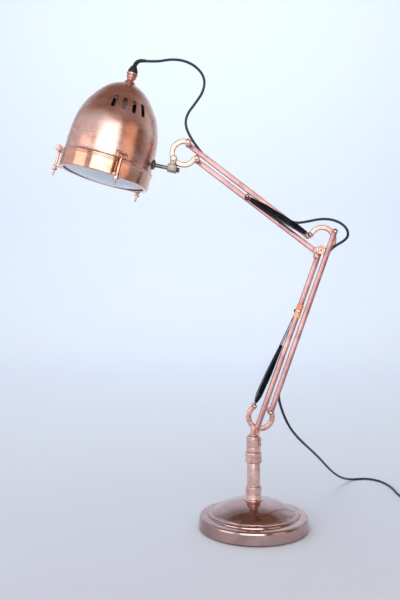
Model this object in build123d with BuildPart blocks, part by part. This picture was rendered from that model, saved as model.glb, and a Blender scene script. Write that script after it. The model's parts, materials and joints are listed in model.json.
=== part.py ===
"""Architect desk lamp: weighted base, two sprung parallelogram arms and a clamped dome head."""
from build123d import *
from math import cos, pi, radians, sin, tan
import os

os.makedirs("parts", exist_ok=True)

# ---- driving dimensions, millimetres; origin at the centre of the base's underside, +Z up ----
fit = 0.05          # radial running clearance of pins in holes
open_fit = 0.25     # radial clearance of the two pivots where each parallelogram is left open
gap = 0.3           # clearance between separate moving bodies

base_r = 100.0
base_h = 24.0       # height of the base's straight wall
felt_t = 1.5
dome_r = 75.0       # radius of the base's raised dome
dome_low = 30.0
dome_top = 52.0
wall = 2.0

post_r = 12.0
collar_r = 15.0
socket_r = 13.0
foot_top = 76.6
tube_top = 119.0
collar_top = 138.5
socket_top = 167.7
spigot_r = 8.0

bar_w = 9.0         # square arm bar
bar_near = 15.0     # the lower arm's bars lie from y = -15 to y = -24, the upper arm's from 15 to 24
bar_eye = 5.2
casting_t = 8.0     # thickness of the crescent castings, centred on y = 0
bolt_r = 2.5
spring_r = 5.2
spring_y = 9.5      # each arm has one spring on each side of its castings

lower_len = 344.0
lower_lean = radians(19.5)                    # from vertical, towards +X
upper_len = 279.0
upper_rise = radians(37.4)                    # above horizontal, towards -X

base_pivot = Vector(3.0, 0, 180.0)            # main lower bar, low end
base_horn = Vector(29.5, 0, 213.5)            # link lower bar, low end
base_hook = Vector(0.7, 0, 221.7)             # lower springs, low end
lower_run = Vector(sin(lower_lean), 0, cos(lower_lean)) * lower_len
elbow_pivot = base_pivot + lower_run
elbow_horn = base_horn + lower_run
elbow_hook = elbow_pivot + Vector(-15.5, 0, 29.2)
upper_run = Vector(-cos(upper_rise), 0, sin(upper_rise)) * upper_len
head_low = elbow_pivot + upper_run
head_high = elbow_hook + upper_run
tilt_pivot = Vector(-145.6, 0, 671.0)
sleeve_at = base_pivot + lower_run * (228.0 / lower_len)
upper_pin_at = elbow_pivot + upper_run * (163.0 / upper_len)

head_lean = radians(15.4)                     # the head's axis leans towards +X going up
head_foot = Vector(-273.4, 0, 639.0)          # centre of the lens ring's lower edge
head_x = Vector(cos(head_lean), 0, -sin(head_lean))
head_z = Vector(sin(head_lean), 0, cos(head_lean))
head_axis = Axis(head_foot, head_z)
head_section = Plane(head_foot, x_dir=head_x, z_dir=(0, -1, 0))   # x = radius, y = height
ring_r = 83.2
ring_h = 27.0
ring_low = -3.0
clamp_angles = (-67.0, 53.0, 173.0)           # about the head's axis, from head_x
clamp_pin_r = 94.5                            # hinge pin's distance from the head's axis
clamp_pin_h = 31.0
clamp_drop = clamp_pin_h - ring_low            # from the hinge pin to the underside of the lug
clamp_lug_h = 4.0

stud_slope = radians(12.5)
stud_dir = Vector(cos(stud_slope), 0, -sin(stud_slope))
stud_start = head_foot + head_x * 80.0 + head_z * 46.0
stud_r = 3.5

cord_r = 2.4
held_far = bar_near + bar_w + gap + cord_r    # y of the cable clipped behind the upper arm
held_near = -(bar_near - gap - cord_r)        # y of the cable clipped behind the lower arm

front = Plane.XZ                              # sketch x = X, sketch y = Z, normal = -Y
post_axis = Axis.Z


def turn(section, axis, outline, mode=Mode.ADD):
    """A turned shape from a closed outline of (radius, height) points."""
    with BuildSketch(section) as profile:
        with BuildLine():
            Polyline(*outline, close=True)
        make_face()
    revolve(profile.sketch, axis=axis, mode=mode)


def rod(start, end, radius, mode=Mode.ADD):
    """A round rod between two points."""
    start, end = Vector(start), Vector(end)
    with BuildSketch(Plane(start, z_dir=end - start)) as disc:
        Circle(radius)
    extrude(disc.sketch, amount=(end - start).length, mode=mode)


def cross_pin(at, y_low, y_high, radius, mode=Mode.ADD):
    """A round pin parallel to Y."""
    rod((at.X, y_low, at.Z), (at.X, y_high, at.Z), radius, mode)


def head_point(angle, radius, height):
    """A point of the head, at an angle about its axis from head_x."""
    a = radians(angle)
    return head_foot + head_x * (radius * cos(a)) + Vector(0, radius * sin(a), 0) + head_z * height


def save(piece, name):
    piece.part.label = name
    export_step(piece.part, "parts/" + name + ".step")


def arm_bar(start, end, y_low):
    """A square bar with round eyes and chamfered faces, from one pivot to the other."""
    with BuildPart() as bar:
        with BuildSketch(front.offset(-(y_low + bar_w))):
            middle = (start + end) * 0.5
            SlotCenterPoint((middle.X, middle.Z), (end.X, end.Z), bar_w)
        extrude(amount=bar_w)
        chamfer(bar.faces().sort_by(Axis.Y)[0].edges() + bar.faces().sort_by(Axis.Y)[-1].edges(), 0.9)
        for at in (start, end):
            cross_pin(at, y_low, y_low + bar_w, bar_eye)
            cross_pin(at, y_low - 1, y_low + bar_w + 1, bolt_r + fit, Mode.SUBTRACT)
    return bar


def tube_path(points):
    """Corner radii of a cord: 0.45 of the shorter run over the tangent of half the turn."""
    radii = []
    for before, here, after in zip(points, points[1:], points[2:]):
        run_in, run_out = Vector(here) - Vector(before), Vector(after) - Vector(here)
        half = radians(run_in.get_angle(run_out)) / 2
        radii.append(0.45 * min(run_in.length, run_out.length) / tan(half))
    return radii


def cord_tube(points, name):
    """A free cord along straight runs joined by tangent arcs."""
    radii = tube_path(points)
    with BuildPart() as tube:
        with BuildLine() as path:
            FilletPolyline(*points, radius=radii)
        with BuildSketch(Plane(path.line @ 0, z_dir=path.line % 0)):
            Circle(cord_r)
        sweep(path=path.line)
    length = path.wires()[0].length
    print(name, "length", round(length, 1), "volume ratio", round(tube.part.volume / (length * pi * cord_r ** 2), 4))
    print(name, "radii", [round(r, 1) for r in radii])
    return tube


# ---- base ----
with BuildPart() as felt_pad:
    with BuildSketch():
        Circle(base_r - 4)
    extrude(amount=felt_t)
save(felt_pad, "felt_pad")

with BuildPart() as base_shell:
    with BuildSketch(front):
        with BuildLine():
            Polyline((base_r - 4, felt_t + 0.6), (base_r - 1, felt_t + 0.6), (base_r, felt_t + 1.6),
                     (base_r, 4.0), (base_r - 1.5, base_h - 3.5))
            ThreePointArc((base_r - 1.5, base_h - 3.5), (base_r - 2.6, base_h - 1.0), (base_r - 5.5, base_h))
            Line((base_r - 5.5, base_h), (83.0, base_h + 0.6))
            ThreePointArc((83.0, base_h + 0.6), (80.2, base_h + 1.5), (79.0, base_h + 4.2))
            ThreePointArc((79.0, base_h + 4.2), (77.6, base_h + 5.8), (dome_r, dome_low))
            ThreePointArc((dome_r, dome_low), (40.0, 45.7), (0, dome_top))
            Line((0, dome_top), (0, dome_top - wall))
            ThreePointArc((0, dome_top - wall), (40.0, 43.7), (dome_r - 0.6, dome_low - 2.2))
            Polyline((dome_r - 0.6, dome_low - 2.2), (dome_r + 1.0, base_h - wall),
                     (base_r - 7.5, base_h - wall), (base_r - 4, base_h - 6), (base_r - 4, felt_t + 0.6))
        make_face()
    revolve(axis=post_axis)
    rod((0, 0, 30), (0, 0, 60), 5.0 + fit, Mode.SUBTRACT)
save(base_shell, "base_shell")

with BuildPart() as base_weight:
    turn(front, post_axis, [(5.0 + fit, felt_t), (base_r - 5, felt_t), (base_r - 5, 17.5), (74, 19.0), (70, 25.5),
                            (5.0 + fit, 34.0)])
    rod((0, 0, felt_t), (0, 0, 12), 16.0, Mode.SUBTRACT)
save(base_weight, "base_weight")

with BuildPart() as base_nut:
    with BuildSketch(Plane.XY.offset(4.0)):
        RegularPolygon(8.5, 6)
        Circle(5.0 + fit, mode=Mode.SUBTRACT)
    extrude(amount=6.0)
    with BuildSketch(Plane.XY.offset(10.3)):
        Circle(14.0)
        Circle(5.0 + fit, mode=Mode.SUBTRACT)
    extrude(amount=1.6)
save(base_nut, "base_nut")

with BuildPart() as tie_rod:
    rod((0, 0, 3.0), (0, 0, collar_top - 4), 5.0)
save(tie_rod, "post_tie_rod")

with BuildPart() as foot_collar:
    turn(front, post_axis, [(5.0 + fit, dome_top), (14.5, dome_top - 0.6), (14.5, 61.2), (13.7, 61.8), (13.7, 63.2),
                            (14.5, 63.8), (14.5, foot_top - 1.2), (13.3, foot_top), (5.0 + fit, foot_top)])
save(foot_collar, "foot_collar")

with BuildPart() as post_tube:
    turn(front, post_axis, [(9.5, foot_top), (post_r, foot_top), (post_r, tube_top), (9.5, tube_top)])
save(post_tube, "post_tube")

with BuildPart() as upper_collar:
    turn(front, post_axis, [(5.0 + fit, tube_top), (collar_r - 0.8, tube_top), (collar_r, tube_top + 0.8),
                            (collar_r, tube_top + 8.6), (collar_r - 0.7, tube_top + 9.2),
                            (collar_r - 0.7, tube_top + 10.4), (collar_r, tube_top + 11),
                            (collar_r, collar_top - 1.0), (collar_r - 1.0, collar_top), (9.0, collar_top),
                            (9.0, collar_top - 3.5), (5.0 + fit, collar_top - 3.5)])
save(upper_collar, "upper_collar")

lock_heights = (153.2, 161.4)
lock_dir = Vector(cos(radians(-42)), sin(radians(-42)), 0)    # the lock screws point forwards and to the right
with BuildPart() as post_socket:
    turn(front, post_axis, [(0, collar_top), (socket_r - 0.6, collar_top), (socket_r, collar_top + 0.6),
                            (socket_r, 146.9), (socket_r - 0.7, 147.3), (socket_r - 0.7, 148.1), (socket_r, 148.5),
                            (socket_r, socket_top - 1), (socket_r - 1, socket_top), (spigot_r + fit, socket_top),
                            (spigot_r + fit, collar_top + 3.5), (0, collar_top + 3.5)])
    with BuildSketch(Plane.XY.offset(socket_top - 4.5)):
        with Locations((0, -socket_r)):
            Rectangle(3.0, 12.0)
    extrude(amount=10.0, mode=Mode.SUBTRACT)
    for height in lock_heights:
        rod(lock_dir * spigot_r + Vector(0, 0, height), lock_dir * 20 + Vector(0, 0, height), 1.6 + fit, Mode.SUBTRACT)
save(post_socket, "post_socket")

for name, height in zip(("swivel_lock_lower", "swivel_lock_upper"), lock_heights):
    def lock_at(out):
        return lock_dir * out + Vector(0, 0, height)

    with BuildPart() as lock_screw:
        rod(lock_at(spigot_r + 0.4), lock_at(socket_r + 0.4), 1.6)
        rod(lock_at(socket_r + 0.3), lock_at(socket_r + 3.1), 3.2)
        with BuildSketch(Plane(lock_at(socket_r + 3.1), z_dir=lock_dir)):
            with PolarLocations(3.2, 12):
                Circle(0.4)
        extrude(amount=-2.8, mode=Mode.SUBTRACT)
    save(lock_screw, name)

# ---- swivelling bracket on the post ----
with BuildPart() as swivel_spigot:
    rod((0, 0, collar_top + 4.0), (0, 0, socket_top + gap), spigot_r)
    turn(front, post_axis, [(0, socket_top + gap), (8.8, socket_top + gap), (9.4, socket_top + 1.0),
                            (9.4, 170.5), (8.6, 171.5), (0, 171.5)])
    with BuildSketch(front.offset(-8.2)):
        with Locations((base_pivot.X, 174.0)):
            Rectangle(14.0, 10.0)
        with Locations((base_pivot.X, base_pivot.Z)):
            Circle(7.0)
    extrude(amount=16.4)
    with BuildSketch(front.offset(-(casting_t / 2 + fit))):
        with Locations((base_pivot.X, 190.0)):
            Rectangle(30.0, 37.0)
    extrude(amount=casting_t + 2 * fit, mode=Mode.SUBTRACT)
    cross_pin(base_pivot, -20, 20, 3.0 + fit, Mode.SUBTRACT)
save(swivel_spigot, "swivel_spigot")


def crescent(centre, radius, start, size, width, bosses, holes):
    """A flat crescent casting: a round-ended arc with bosses, drilled for its bolts."""
    with BuildPart() as casting:
        with BuildSketch(front.offset(-casting_t / 2)):
            with BuildLine() as spine:
                CenterArc(centre, radius, start, size)
            SlotArc(spine.edge(), width)
            for at, boss_r in bosses:
                with Locations((at.X, at.Z)):
                    Circle(boss_r)
        extrude(amount=casting_t)
        for at, hole_r in holes:
            cross_pin(at, -20, 20, hole_r, Mode.SUBTRACT)
    return casting


base_crescent = crescent((12.5, 202.0), 21.5, -239.0, 273.0, 9.0,
                         [(base_pivot, 7.0), (base_horn, 6.0), (base_hook, 5.0)],
                         [(base_pivot, 3.0 + fit), (base_horn, bolt_r + fit), (base_hook, 1.8 + fit)])
save(base_crescent, "base_crescent")


def bolt(at, y_head, y_nut, radius, head_r, head_t, nut_r, nut_t):
    """A bolt parallel to Y: a domed head at the low-Y end and an acorn nut at the other."""
    cross_pin(at, y_head, y_nut, radius)
    with BuildSketch(front.offset(-y_head)) as flat:
        with Locations((at.X, at.Z)):
            Circle(head_r)
    extrude(flat.sketch, amount=head_t, taper=8)
    with BuildSketch(front.offset(-y_nut)) as hexagon:
        with Locations((at.X, at.Z)):
            RegularPolygon(nut_r, 6)
    extrude(hexagon.sketch, amount=-nut_t)


casting_y = casting_t / 2
bar_far = bar_near + bar_w
hook_end = bar_near - 0.4                     # half length of the springs' lower hook pin
with BuildPart() as base_bolts:
    bolt(base_pivot, -bar_far - gap, 8.2 + gap, 3.0, 5.6, 3.5, 5.5, 4.0)
    bolt(base_horn, -bar_far - gap, casting_y + 0.1, bolt_r, 4.4, 4.2, 4.6, 3.5)
    cross_pin(base_horn, -bar_near + gap, -casting_y, 4.4)
    cross_pin(base_hook, -hook_end, hook_end, 1.8)
    for side in (-1, 1):
        cross_pin(base_hook, side * (hook_end - 1.2), side * hook_end, 3.0)
save(base_bolts, "base_bolts")

with BuildPart() as base_pivot_spacer:
    cross_pin(base_pivot, -bar_near + gap, -8.2, 5.2)
    cross_pin(base_pivot, -20, 0, 3.0 + fit, Mode.SUBTRACT)
save(base_pivot_spacer, "base_pivot_spacer")

# ---- lower arm ----
lower_main_bar = arm_bar(base_pivot, elbow_pivot, -bar_far)
with BuildPart(mode=Mode.PRIVATE) as sleeve_cut:
    cross_pin(sleeve_at, -30, 0, 1.8 + fit)
    cross_pin(base_pivot, -30, 0, 3.0 + fit)
    cross_pin(elbow_pivot, -30, 0, 3.0 + open_fit)
lower_main_bar.part = lower_main_bar.part - sleeve_cut.part
save(lower_main_bar, "lower_main_bar")

lower_link_bar = arm_bar(base_horn, elbow_horn, -bar_far)
save(lower_link_bar, "lower_link_bar")

sleeve_plane = Plane(sleeve_at + Vector(0, -(bar_near + bar_w / 2), 0), x_dir=(0, 1, 0), z_dir=lower_run)
with BuildPart() as spring_sleeve:
    with BuildSketch(sleeve_plane.offset(-12.0)):
        Rectangle(bar_w + 1.6, bar_w + 1.6)
        Rectangle(bar_w + 0.02, bar_w + 0.02, mode=Mode.SUBTRACT)
    extrude(amount=24.0)
    with BuildSketch(sleeve_plane.offset(-12.0)):
        Rectangle(bar_w + 2.2, bar_w + 2.2)
        Rectangle(bar_w + 0.02, bar_w + 0.02, mode=Mode.SUBTRACT)
    extrude(amount=2.0)
    cross_pin(sleeve_at, -30, 0, 1.8 + fit, Mode.SUBTRACT)
save(spring_sleeve, "spring_sleeve")

with BuildPart() as lower_spring_pin:
    cross_pin(sleeve_at, -bar_far - 1.2, spring_y + 5.4, 1.8)
    cross_pin(sleeve_at, -bar_far - 2.6, -bar_far - 1.2, 3.2)
    cross_pin(sleeve_at, spring_y + 4.4, spring_y + 5.6, 3.0)
save(lower_spring_pin, "lower_spring_pin")


def spring(hook, anchor, side, body_share, coil_start):
    """The outer form of a tension spring: close coils, with a straight leg up to its pin."""
    start, end = Vector(hook.X, side * spring_y, hook.Z), Vector(anchor.X, side * spring_y, anchor.Z)
    run = (end - start).normalized()
    length = (end - start).length
    rod(start + run * 3.4, start + run * (coil_start + 1), 1.0)
    rod(start + run * coil_start, start + run * (length * body_share), spring_r)
    rod(start + run * (length * body_share - 1), end - run * 3.4, 1.0)


with BuildPart() as lower_springs:
    for side in (-1, 1):
        spring(base_hook, sleeve_at, side, 0.62, 8.0)
save(lower_springs, "lower_springs")
with BuildPart() as upper_springs:
    for side in (-1, 1):
        spring(elbow_hook, upper_pin_at, side, 0.95, 8.0)
save(upper_springs, "upper_springs")

# ---- elbow ----
elbow_crescent = crescent((125.0, 526.0), 21.5, -108.4, 270.1, 9.0,
                          [(elbow_pivot, 8.0), (elbow_horn, 6.0), (elbow_hook, 6.0)],
                          [(elbow_pivot, 3.0 + fit), (elbow_horn, bolt_r + fit), (elbow_hook, bolt_r + fit)])
save(elbow_crescent, "elbow_crescent")

with BuildPart() as elbow_bolts:
    bolt(elbow_pivot, -bar_far - gap, bar_far + gap, 3.0, 8.0, 6.4, 5.5, 4.0)
    cross_pin(elbow_pivot, -bar_far - 8, -bar_far - 4.6, 4.6, Mode.SUBTRACT)
    bolt(elbow_horn, -bar_far - gap, casting_y + 0.1, bolt_r, 4.4, 4.2, 4.6, 3.5)
    cross_pin(elbow_horn, -bar_near + gap, -casting_y, 4.4)
    bolt(elbow_hook, -spring_y - 5.6, bar_far + gap, bolt_r, 3.6, 1.6, 4.6, 3.5)
save(elbow_bolts, "elbow_bolts")

with BuildPart() as elbow_spacers:
    for low, high in ((-bar_near + gap, -casting_y), (casting_y, bar_near - gap)):
        cross_pin(elbow_pivot, low, high, 6.0)
    cross_pin(elbow_pivot, -30, 30, 3.0 + fit, Mode.SUBTRACT)
save(elbow_spacers, "elbow_spacers")

knob_out = Vector(-8.8, 0, -10.3).normalized()
knob_from = elbow_pivot + Vector(0, -bar_far - 4.8, 0) + knob_out * 8.3
with BuildPart() as elbow_lock_knob:
    rod(knob_from, knob_from + knob_out * 3.0, 1.6)
    rod(knob_from + knob_out * 3.0, knob_from + knob_out * 9.0, 4.0)
    rod(knob_from + knob_out * 9.0, knob_from + knob_out * 11.0, 2.6)
    with BuildSketch(Plane(knob_from + knob_out * 9.0, z_dir=knob_out)):
        with PolarLocations(4.0, 12):
            Circle(0.45)
    extrude(amount=-6.0, mode=Mode.SUBTRACT)
save(elbow_lock_knob, "elbow_lock_knob")

# ---- upper arm ----
upper_low_bar = arm_bar(elbow_pivot, head_low, bar_near)
with BuildPart(mode=Mode.PRIVATE) as upper_cut:
    cross_pin(upper_pin_at, 0, 30, 1.8 + fit)
    cross_pin(elbow_pivot, 0, 30, 3.0 + fit)
    cross_pin(head_low, 0, 30, bolt_r + open_fit)
upper_low_bar.part = upper_low_bar.part - upper_cut.part
save(upper_low_bar, "upper_low_bar")

upper_top_bar = arm_bar(elbow_hook, head_high, bar_near)
save(upper_top_bar, "upper_top_bar")

with BuildPart() as upper_spring_pin:
    cross_pin(upper_pin_at, -spring_y - 6.0, bar_far + 1.2, 1.8)
    cross_pin(upper_pin_at, -spring_y - 8.0, -spring_y - 5.0, 3.1)
    cross_pin(upper_pin_at, bar_far + 0.1, bar_far + 1.4, 3.2)
save(upper_spring_pin, "upper_spring_pin")

# ---- head bracket ----
head_ring = (-127.0, 683.0)
head_ring_r = 21.5
with BuildPart() as head_crescent:
    with BuildSketch(front.offset(-casting_t / 2)):
        with BuildLine() as head_spine:
            CenterArc(head_ring, head_ring_r, 69.0, 266.0)
        SlotArc(head_spine.edge(), 9.0)
        for place, boss_r in ((head_low, 6.0), (head_high, 6.0), (tilt_pivot, 6.5)):
            with Locations((place.X, place.Z)):
                Circle(boss_r)
    extrude(amount=casting_t)
    for place in (head_low, head_high, tilt_pivot):
        cross_pin(place, -20, 20, bolt_r + fit, Mode.SUBTRACT)
save(head_crescent, "head_crescent")

with BuildPart() as head_bolts:
    for at in (head_low, head_high):
        bolt(at, -casting_y - 0.1, bar_far + gap, bolt_r, 4.4, 2.4, 4.6, 3.5)
        cross_pin(at, casting_y, bar_near - gap, 4.4)
save(head_bolts, "head_bolts")

# ---- knuckle ----
block_at = stud_start + stud_dir * 36.5
block_plane = Plane(block_at, x_dir=stud_dir, z_dir=(0, -1, 0))
with BuildPart() as knuckle:
    with BuildSketch(block_plane.offset(-7.0)):
        Rectangle(18.0, 13.0)
    extrude(amount=19.6)
    with BuildSketch(front.offset(casting_y + gap)):
        with Locations((tilt_pivot.X, tilt_pivot.Z)):
            Circle(6.5)
        SlotCenterPoint(((tilt_pivot.X + block_at.X) / 2, (tilt_pivot.Z + block_at.Z) / 2),
                        (tilt_pivot.X, tilt_pivot.Z), 10.0)
    extrude(amount=8.3)
    with BuildSketch(front.offset(casting_y + gap)):
        with BuildLine():
            CenterArc(head_ring, head_ring_r + 7.0, 0, 360)
        make_face()
    extrude(amount=-30, mode=Mode.SUBTRACT)
    cross_pin(tilt_pivot, -casting_y - gap, 12, 8.0, Mode.SUBTRACT)
    rod(block_at - stud_dir * 20, block_at + stud_dir * 20, stud_r + fit, Mode.SUBTRACT)
    cross_pin(tilt_pivot, -20, 0, bolt_r + fit, Mode.SUBTRACT)
save(knuckle, "knuckle")

with BuildPart() as tilt_bolt:
    bolt(tilt_pivot, -13.0, casting_y + 0.1, bolt_r, 4.6, 2.2, 4.6, 3.5)
save(tilt_bolt, "tilt_bolt")

# ---- head ----
with BuildPart() as head_stud:
    rod(stud_start + stud_dir * 1.5, stud_start + stud_dir * 46.2, stud_r)
    rod(stud_start + stud_dir * 4.5, stud_start + stud_dir * 6.2, 4.6)
    rod(stud_start + stud_dir * 45.9, stud_start + stud_dir * 50.0, 4.5)
save(head_stud, "head_stud")

with BuildPart() as stud_flange:
    rod(stud_start + stud_dir * 1.5, stud_start + stud_dir * 4.4, 9.5)
    rod(stud_start, stud_start + stud_dir * 10, stud_r + fit, Mode.SUBTRACT)
save(stud_flange, "stud_flange")

with BuildPart() as stud_nut:
    with BuildSketch(Plane(stud_start - stud_dir * 1.8, z_dir=-stud_dir)):
        RegularPolygon(6.0, 6)
    extrude(amount=4.0)
    rod(stud_start - stud_dir * 1.9, stud_start + stud_dir * 1.5, 2.4)
save(stud_nut, "stud_nut")

shade_outer = [(82.0, 27.6), (81.0, 33.0), (80.9, 50.0), (79.8, 69.0), (77.2, 90.0), (73.0, 106.0), (64.0, 127.5),
               (44.0, 155.0), (25.5, 169.5), (9.0, 176.5)]
with BuildPart() as shade:
    with BuildSketch(head_section):
        with BuildLine():
            Spline(*shade_outer)
            Line(shade_outer[-1], (7.0, 176.5))
            Line((7.0, 176.5), (7.0, 175.0))
            Spline((7.0, 175.0), (25.0, 168.2), (43.1, 154.0), (62.9, 126.8), (71.8, 105.6), (76.0, 89.8),
                   (78.6, 68.9), (79.7, 50.0), (79.8, 33.0), (80.8, 27.6))
            Line((80.8, 27.6), shade_outer[0])
        make_face()
    revolve(axis=head_axis)
    for group in (-94.0, 86.0):
        for step in range(4):
            angle = group + 15.5 * step
            slot_at = head_point(angle, 70.0, 134.0)
            out = slot_at - head_point(angle, 0, 134.0)
            side = head_z.cross(out).normalized()
            up = (head_z * 0.72 - out.normalized() * 0.69).normalized()
            with BuildSketch(Plane(head_point(angle, 47.0, 121.0), x_dir=up, z_dir=up.cross(side))):
                SlotOverall(26.0, 7.4)
            extrude(amount=24.0, both=True, mode=Mode.SUBTRACT)
    rod(stud_start - stud_dir * 6, stud_start + stud_dir * 6, 2.5, Mode.SUBTRACT)
save(shade, "shade")

with BuildPart() as lens_ring:
    bead = ring_r + 1.2
    turn(head_section, head_axis, [(75.0, ring_low), (ring_r - 1, ring_low), (ring_r, ring_low + 1),
                                   (ring_r, ring_h - 5), (bead, ring_h - 4.2),
                                   (bead, ring_h - 2.8), (bead - 0.8, ring_h - 2.2), (bead, ring_h - 1.6),
                                   (bead, ring_h - 0.2), (bead - 0.7, ring_h + 0.5), (79.0, ring_h + 0.5),
                                   (79.0, 1.0), (78.0, -0.6), (75.0, -1.2)])
    for angle in clamp_angles:
        lug = Plane(head_point(angle, 0, ring_low), x_dir=head_point(angle, 1, 0) - head_foot, z_dir=head_z)
        with BuildSketch(lug):
            with Locations((89.7, 0)):
                Rectangle(14.0, 12.0)
            with Locations((clamp_pin_r + 1.4, 0)):
                Rectangle(10.0, 6.2, mode=Mode.SUBTRACT)
            with Locations((clamp_pin_r - 1.1, 0)):
                Circle(3.1, mode=Mode.SUBTRACT)
        extrude(amount=clamp_lug_h)
save(lens_ring, "lens_ring")

with BuildPart() as lens_gasket:
    turn(head_section, head_axis, [(76.5, -0.4), (77.8, -0.4), (78.8, 1.2), (78.8, 6.0), (77.2, 6.0), (77.2, 4.6),
                                   (76.5, 4.6)])
save(lens_gasket, "lens_gasket")

with BuildPart() as lens_glass:
    turn(head_section, head_axis, [(0, -9.0), (25, -7.9), (50, -4.6), (70, -0.4), (74.6, 0.3), (76.3, 0.5),
                                   (76.3, 4.0), (74.0, 4.0), (68, 3.2), (50, -1.0), (25, -4.4), (0, -5.4)])
save(lens_glass, "lens_glass")

with BuildPart() as reflector:
    turn(head_section, head_axis, [(77.8, 25.0), (78.6, 25.0), (72.6, 42.0), (58.0, 74.0), (40.0, 96.0), (22.0, 106.0),
                                   (21.4, 105.0), (39.4, 95.2), (57.3, 73.4), (71.8, 41.6)])
save(reflector, "reflector")

with BuildPart() as lampholder:
    turn(head_section, head_axis, [(0, 112.0), (17.0, 112.0), (18.5, 116.0), (18.5, 140.0), (14.0, 144.0),
                                   (14.0, 160.0), (6.4, 162.0), (6.4, 174.5), (0, 174.5)])
    rod(head_point(0, 0, 110.0), head_point(0, 0, 128.0), 13.4, Mode.SUBTRACT)
save(lampholder, "lampholder")

with BuildPart() as holder_bracket:
    turn(head_section, head_axis, [(14.4, 146.0), (22.0, 146.0), (34.0, 157.0), (33.2, 158.0), (21.6, 147.2),
                                   (14.4, 147.2)])
save(holder_bracket, "holder_bracket")

with BuildPart() as bulb:
    turn(head_section, head_axis, [(0, 48.0), (12.0, 50.2), (21.0, 56.0), (27.5, 66.0), (29.0, 76.0), (27.0, 86.0),
                                   (21.0, 96.0), (15.0, 104.0), (13.2, 110.5), (13.2, 127.0), (0, 127.5)])
save(bulb, "bulb")

with BuildPart() as cord_gland:
    turn(head_section, head_axis, [(0, 177.0), (9.5, 176.8), (10.5, 178.2), (9.5, 180.0), (7.0, 181.0), (6.2, 184.0),
                                   (7.6, 187.0), (9.2, 189.5), (8.6, 192.4), (10.2, 193.6), (10.4, 196.2),
                                   (9.0, 197.4), (0, 197.4)])
save(cord_gland, "cord_gland")

relief_route = [head_point(0, 0, 204.0), (-216.6, 0, 844.6), (-211.8, 0, 850.3), (-204.0, 0, 852.3),
                (-196.0, 0, 851.2)]
with BuildPart() as strain_relief:
    turn(head_section, head_axis, [(0, 197.5), (8.4, 197.5), (9.0, 198.6), (9.0, 202.0), (7.8, 203.6), (5.6, 210.0),
                                   (0, 210.0)])
    with BuildLine() as relief_path:
        FilletPolyline(*relief_route, radius=tube_path(relief_route))
    with BuildSketch(Plane(relief_path.line @ 0, z_dir=relief_path.line % 0)):
        Circle(3.9)
    sweep(path=relief_path.line)
save(strain_relief, "strain_relief")

# ---- lens ring clamps ----
with BuildPart() as clamp_brackets:
    for angle in clamp_angles:
        ear_x = head_point(angle, 1, 0) - head_foot
        for side in (-1, 1):
            tangent = head_z.cross(ear_x).normalized() * side
            ear = Plane(head_point(angle, 0, 0) + tangent * 3.4, x_dir=ear_x, z_dir=tangent)
            height_sign = 1 if ear.y_dir.dot(head_z) > 0 else -1
            with BuildSketch(ear):
                with Locations((clamp_pin_r, height_sign * clamp_pin_h)):
                    Circle(5.4)
                with Locations((88.0, height_sign * (clamp_pin_h + 1.0))):
                    Rectangle(13.4, 8.0)
            extrude(amount=2.4)
            rod(head_point(angle, clamp_pin_r, clamp_pin_h) - tangent * 20,
                head_point(angle, clamp_pin_r, clamp_pin_h) + tangent * 20, 2.0 + fit, Mode.SUBTRACT)
        plate = Plane(head_point(angle, 81.3, clamp_pin_h + 4.0), x_dir=head_z.cross(ear_x), z_dir=ear_x)
        with BuildSketch(plate):
            Rectangle(20.0, 13.0)
        extrude(amount=2.0)
    turn(head_section, head_axis, [(0, 20), (ring_r + 1.5, 20), (ring_r + 1.5, 27.9), (82.4, 27.9), (82.4, 28.5),
                                   (81.5, 32.5), (81.2, 50), (81.2, 60), (0, 60)], Mode.SUBTRACT)
save(clamp_brackets, "clamp_brackets")

with BuildPart() as clamp_pins:
    for angle in clamp_angles:
        centre = head_point(angle, clamp_pin_r, clamp_pin_h)
        tangent = head_z.cross(head_point(angle, 1, 0) - head_foot).normalized()
        rod(centre - tangent * 9.0, centre + tangent * 9.0, 2.0)
        for side in (-1, 1):
            rod(centre + tangent * side * 6.0, centre + tangent * side * 9.4, 6.0)
save(clamp_pins, "clamp_pins")

for number, angle in enumerate(clamp_angles, start=1):
    centre = head_point(angle, clamp_pin_r, clamp_pin_h)
    tangent = head_z.cross(head_point(angle, 1, 0) - head_foot).normalized()
    with BuildPart() as swing_bolt:
        rod(centre - tangent * 3.1, centre + tangent * 3.1, 5.0)
        rod(centre, centre - head_z * (clamp_drop + 2.0), 2.5)
        rod(centre, centre - head_z * (clamp_drop + 17.0), 1.8)
        rod(centre - tangent * 9.0, centre + tangent * 9.0, 2.0 + fit, Mode.SUBTRACT)
        with BuildSketch(Plane(centre - head_z * (clamp_drop + 2.3), z_dir=-head_z)):
            RegularPolygon(4.8, 6)
            Circle(1.8 + fit, mode=Mode.SUBTRACT)
        extrude(amount=4.0)
    save(swing_bolt, "swing_bolt_" + str(number))

# ---- cables held on the arms, and their clips ----
upper_dir = upper_run.normalized()
lower_dir = lower_run.normalized()
upper_held = (Vector(-66.0, held_far, 662.2), Vector(48.0, held_far, 575.0))
lower_held = (Vector(123.3, held_near, 478.4), Vector(46.7, held_near, 262.1))
with BuildPart() as upper_arm_cable:
    rod(upper_held[0] - upper_dir * 0.5, upper_held[1] + upper_dir * 0.5, cord_r)
save(upper_arm_cable, "upper_arm_cable")
with BuildPart() as lower_arm_cable:
    rod(lower_held[0] - lower_dir * 0.5, lower_held[1] + lower_dir * 0.5, cord_r)
save(lower_arm_cable, "lower_arm_cable")

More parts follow.
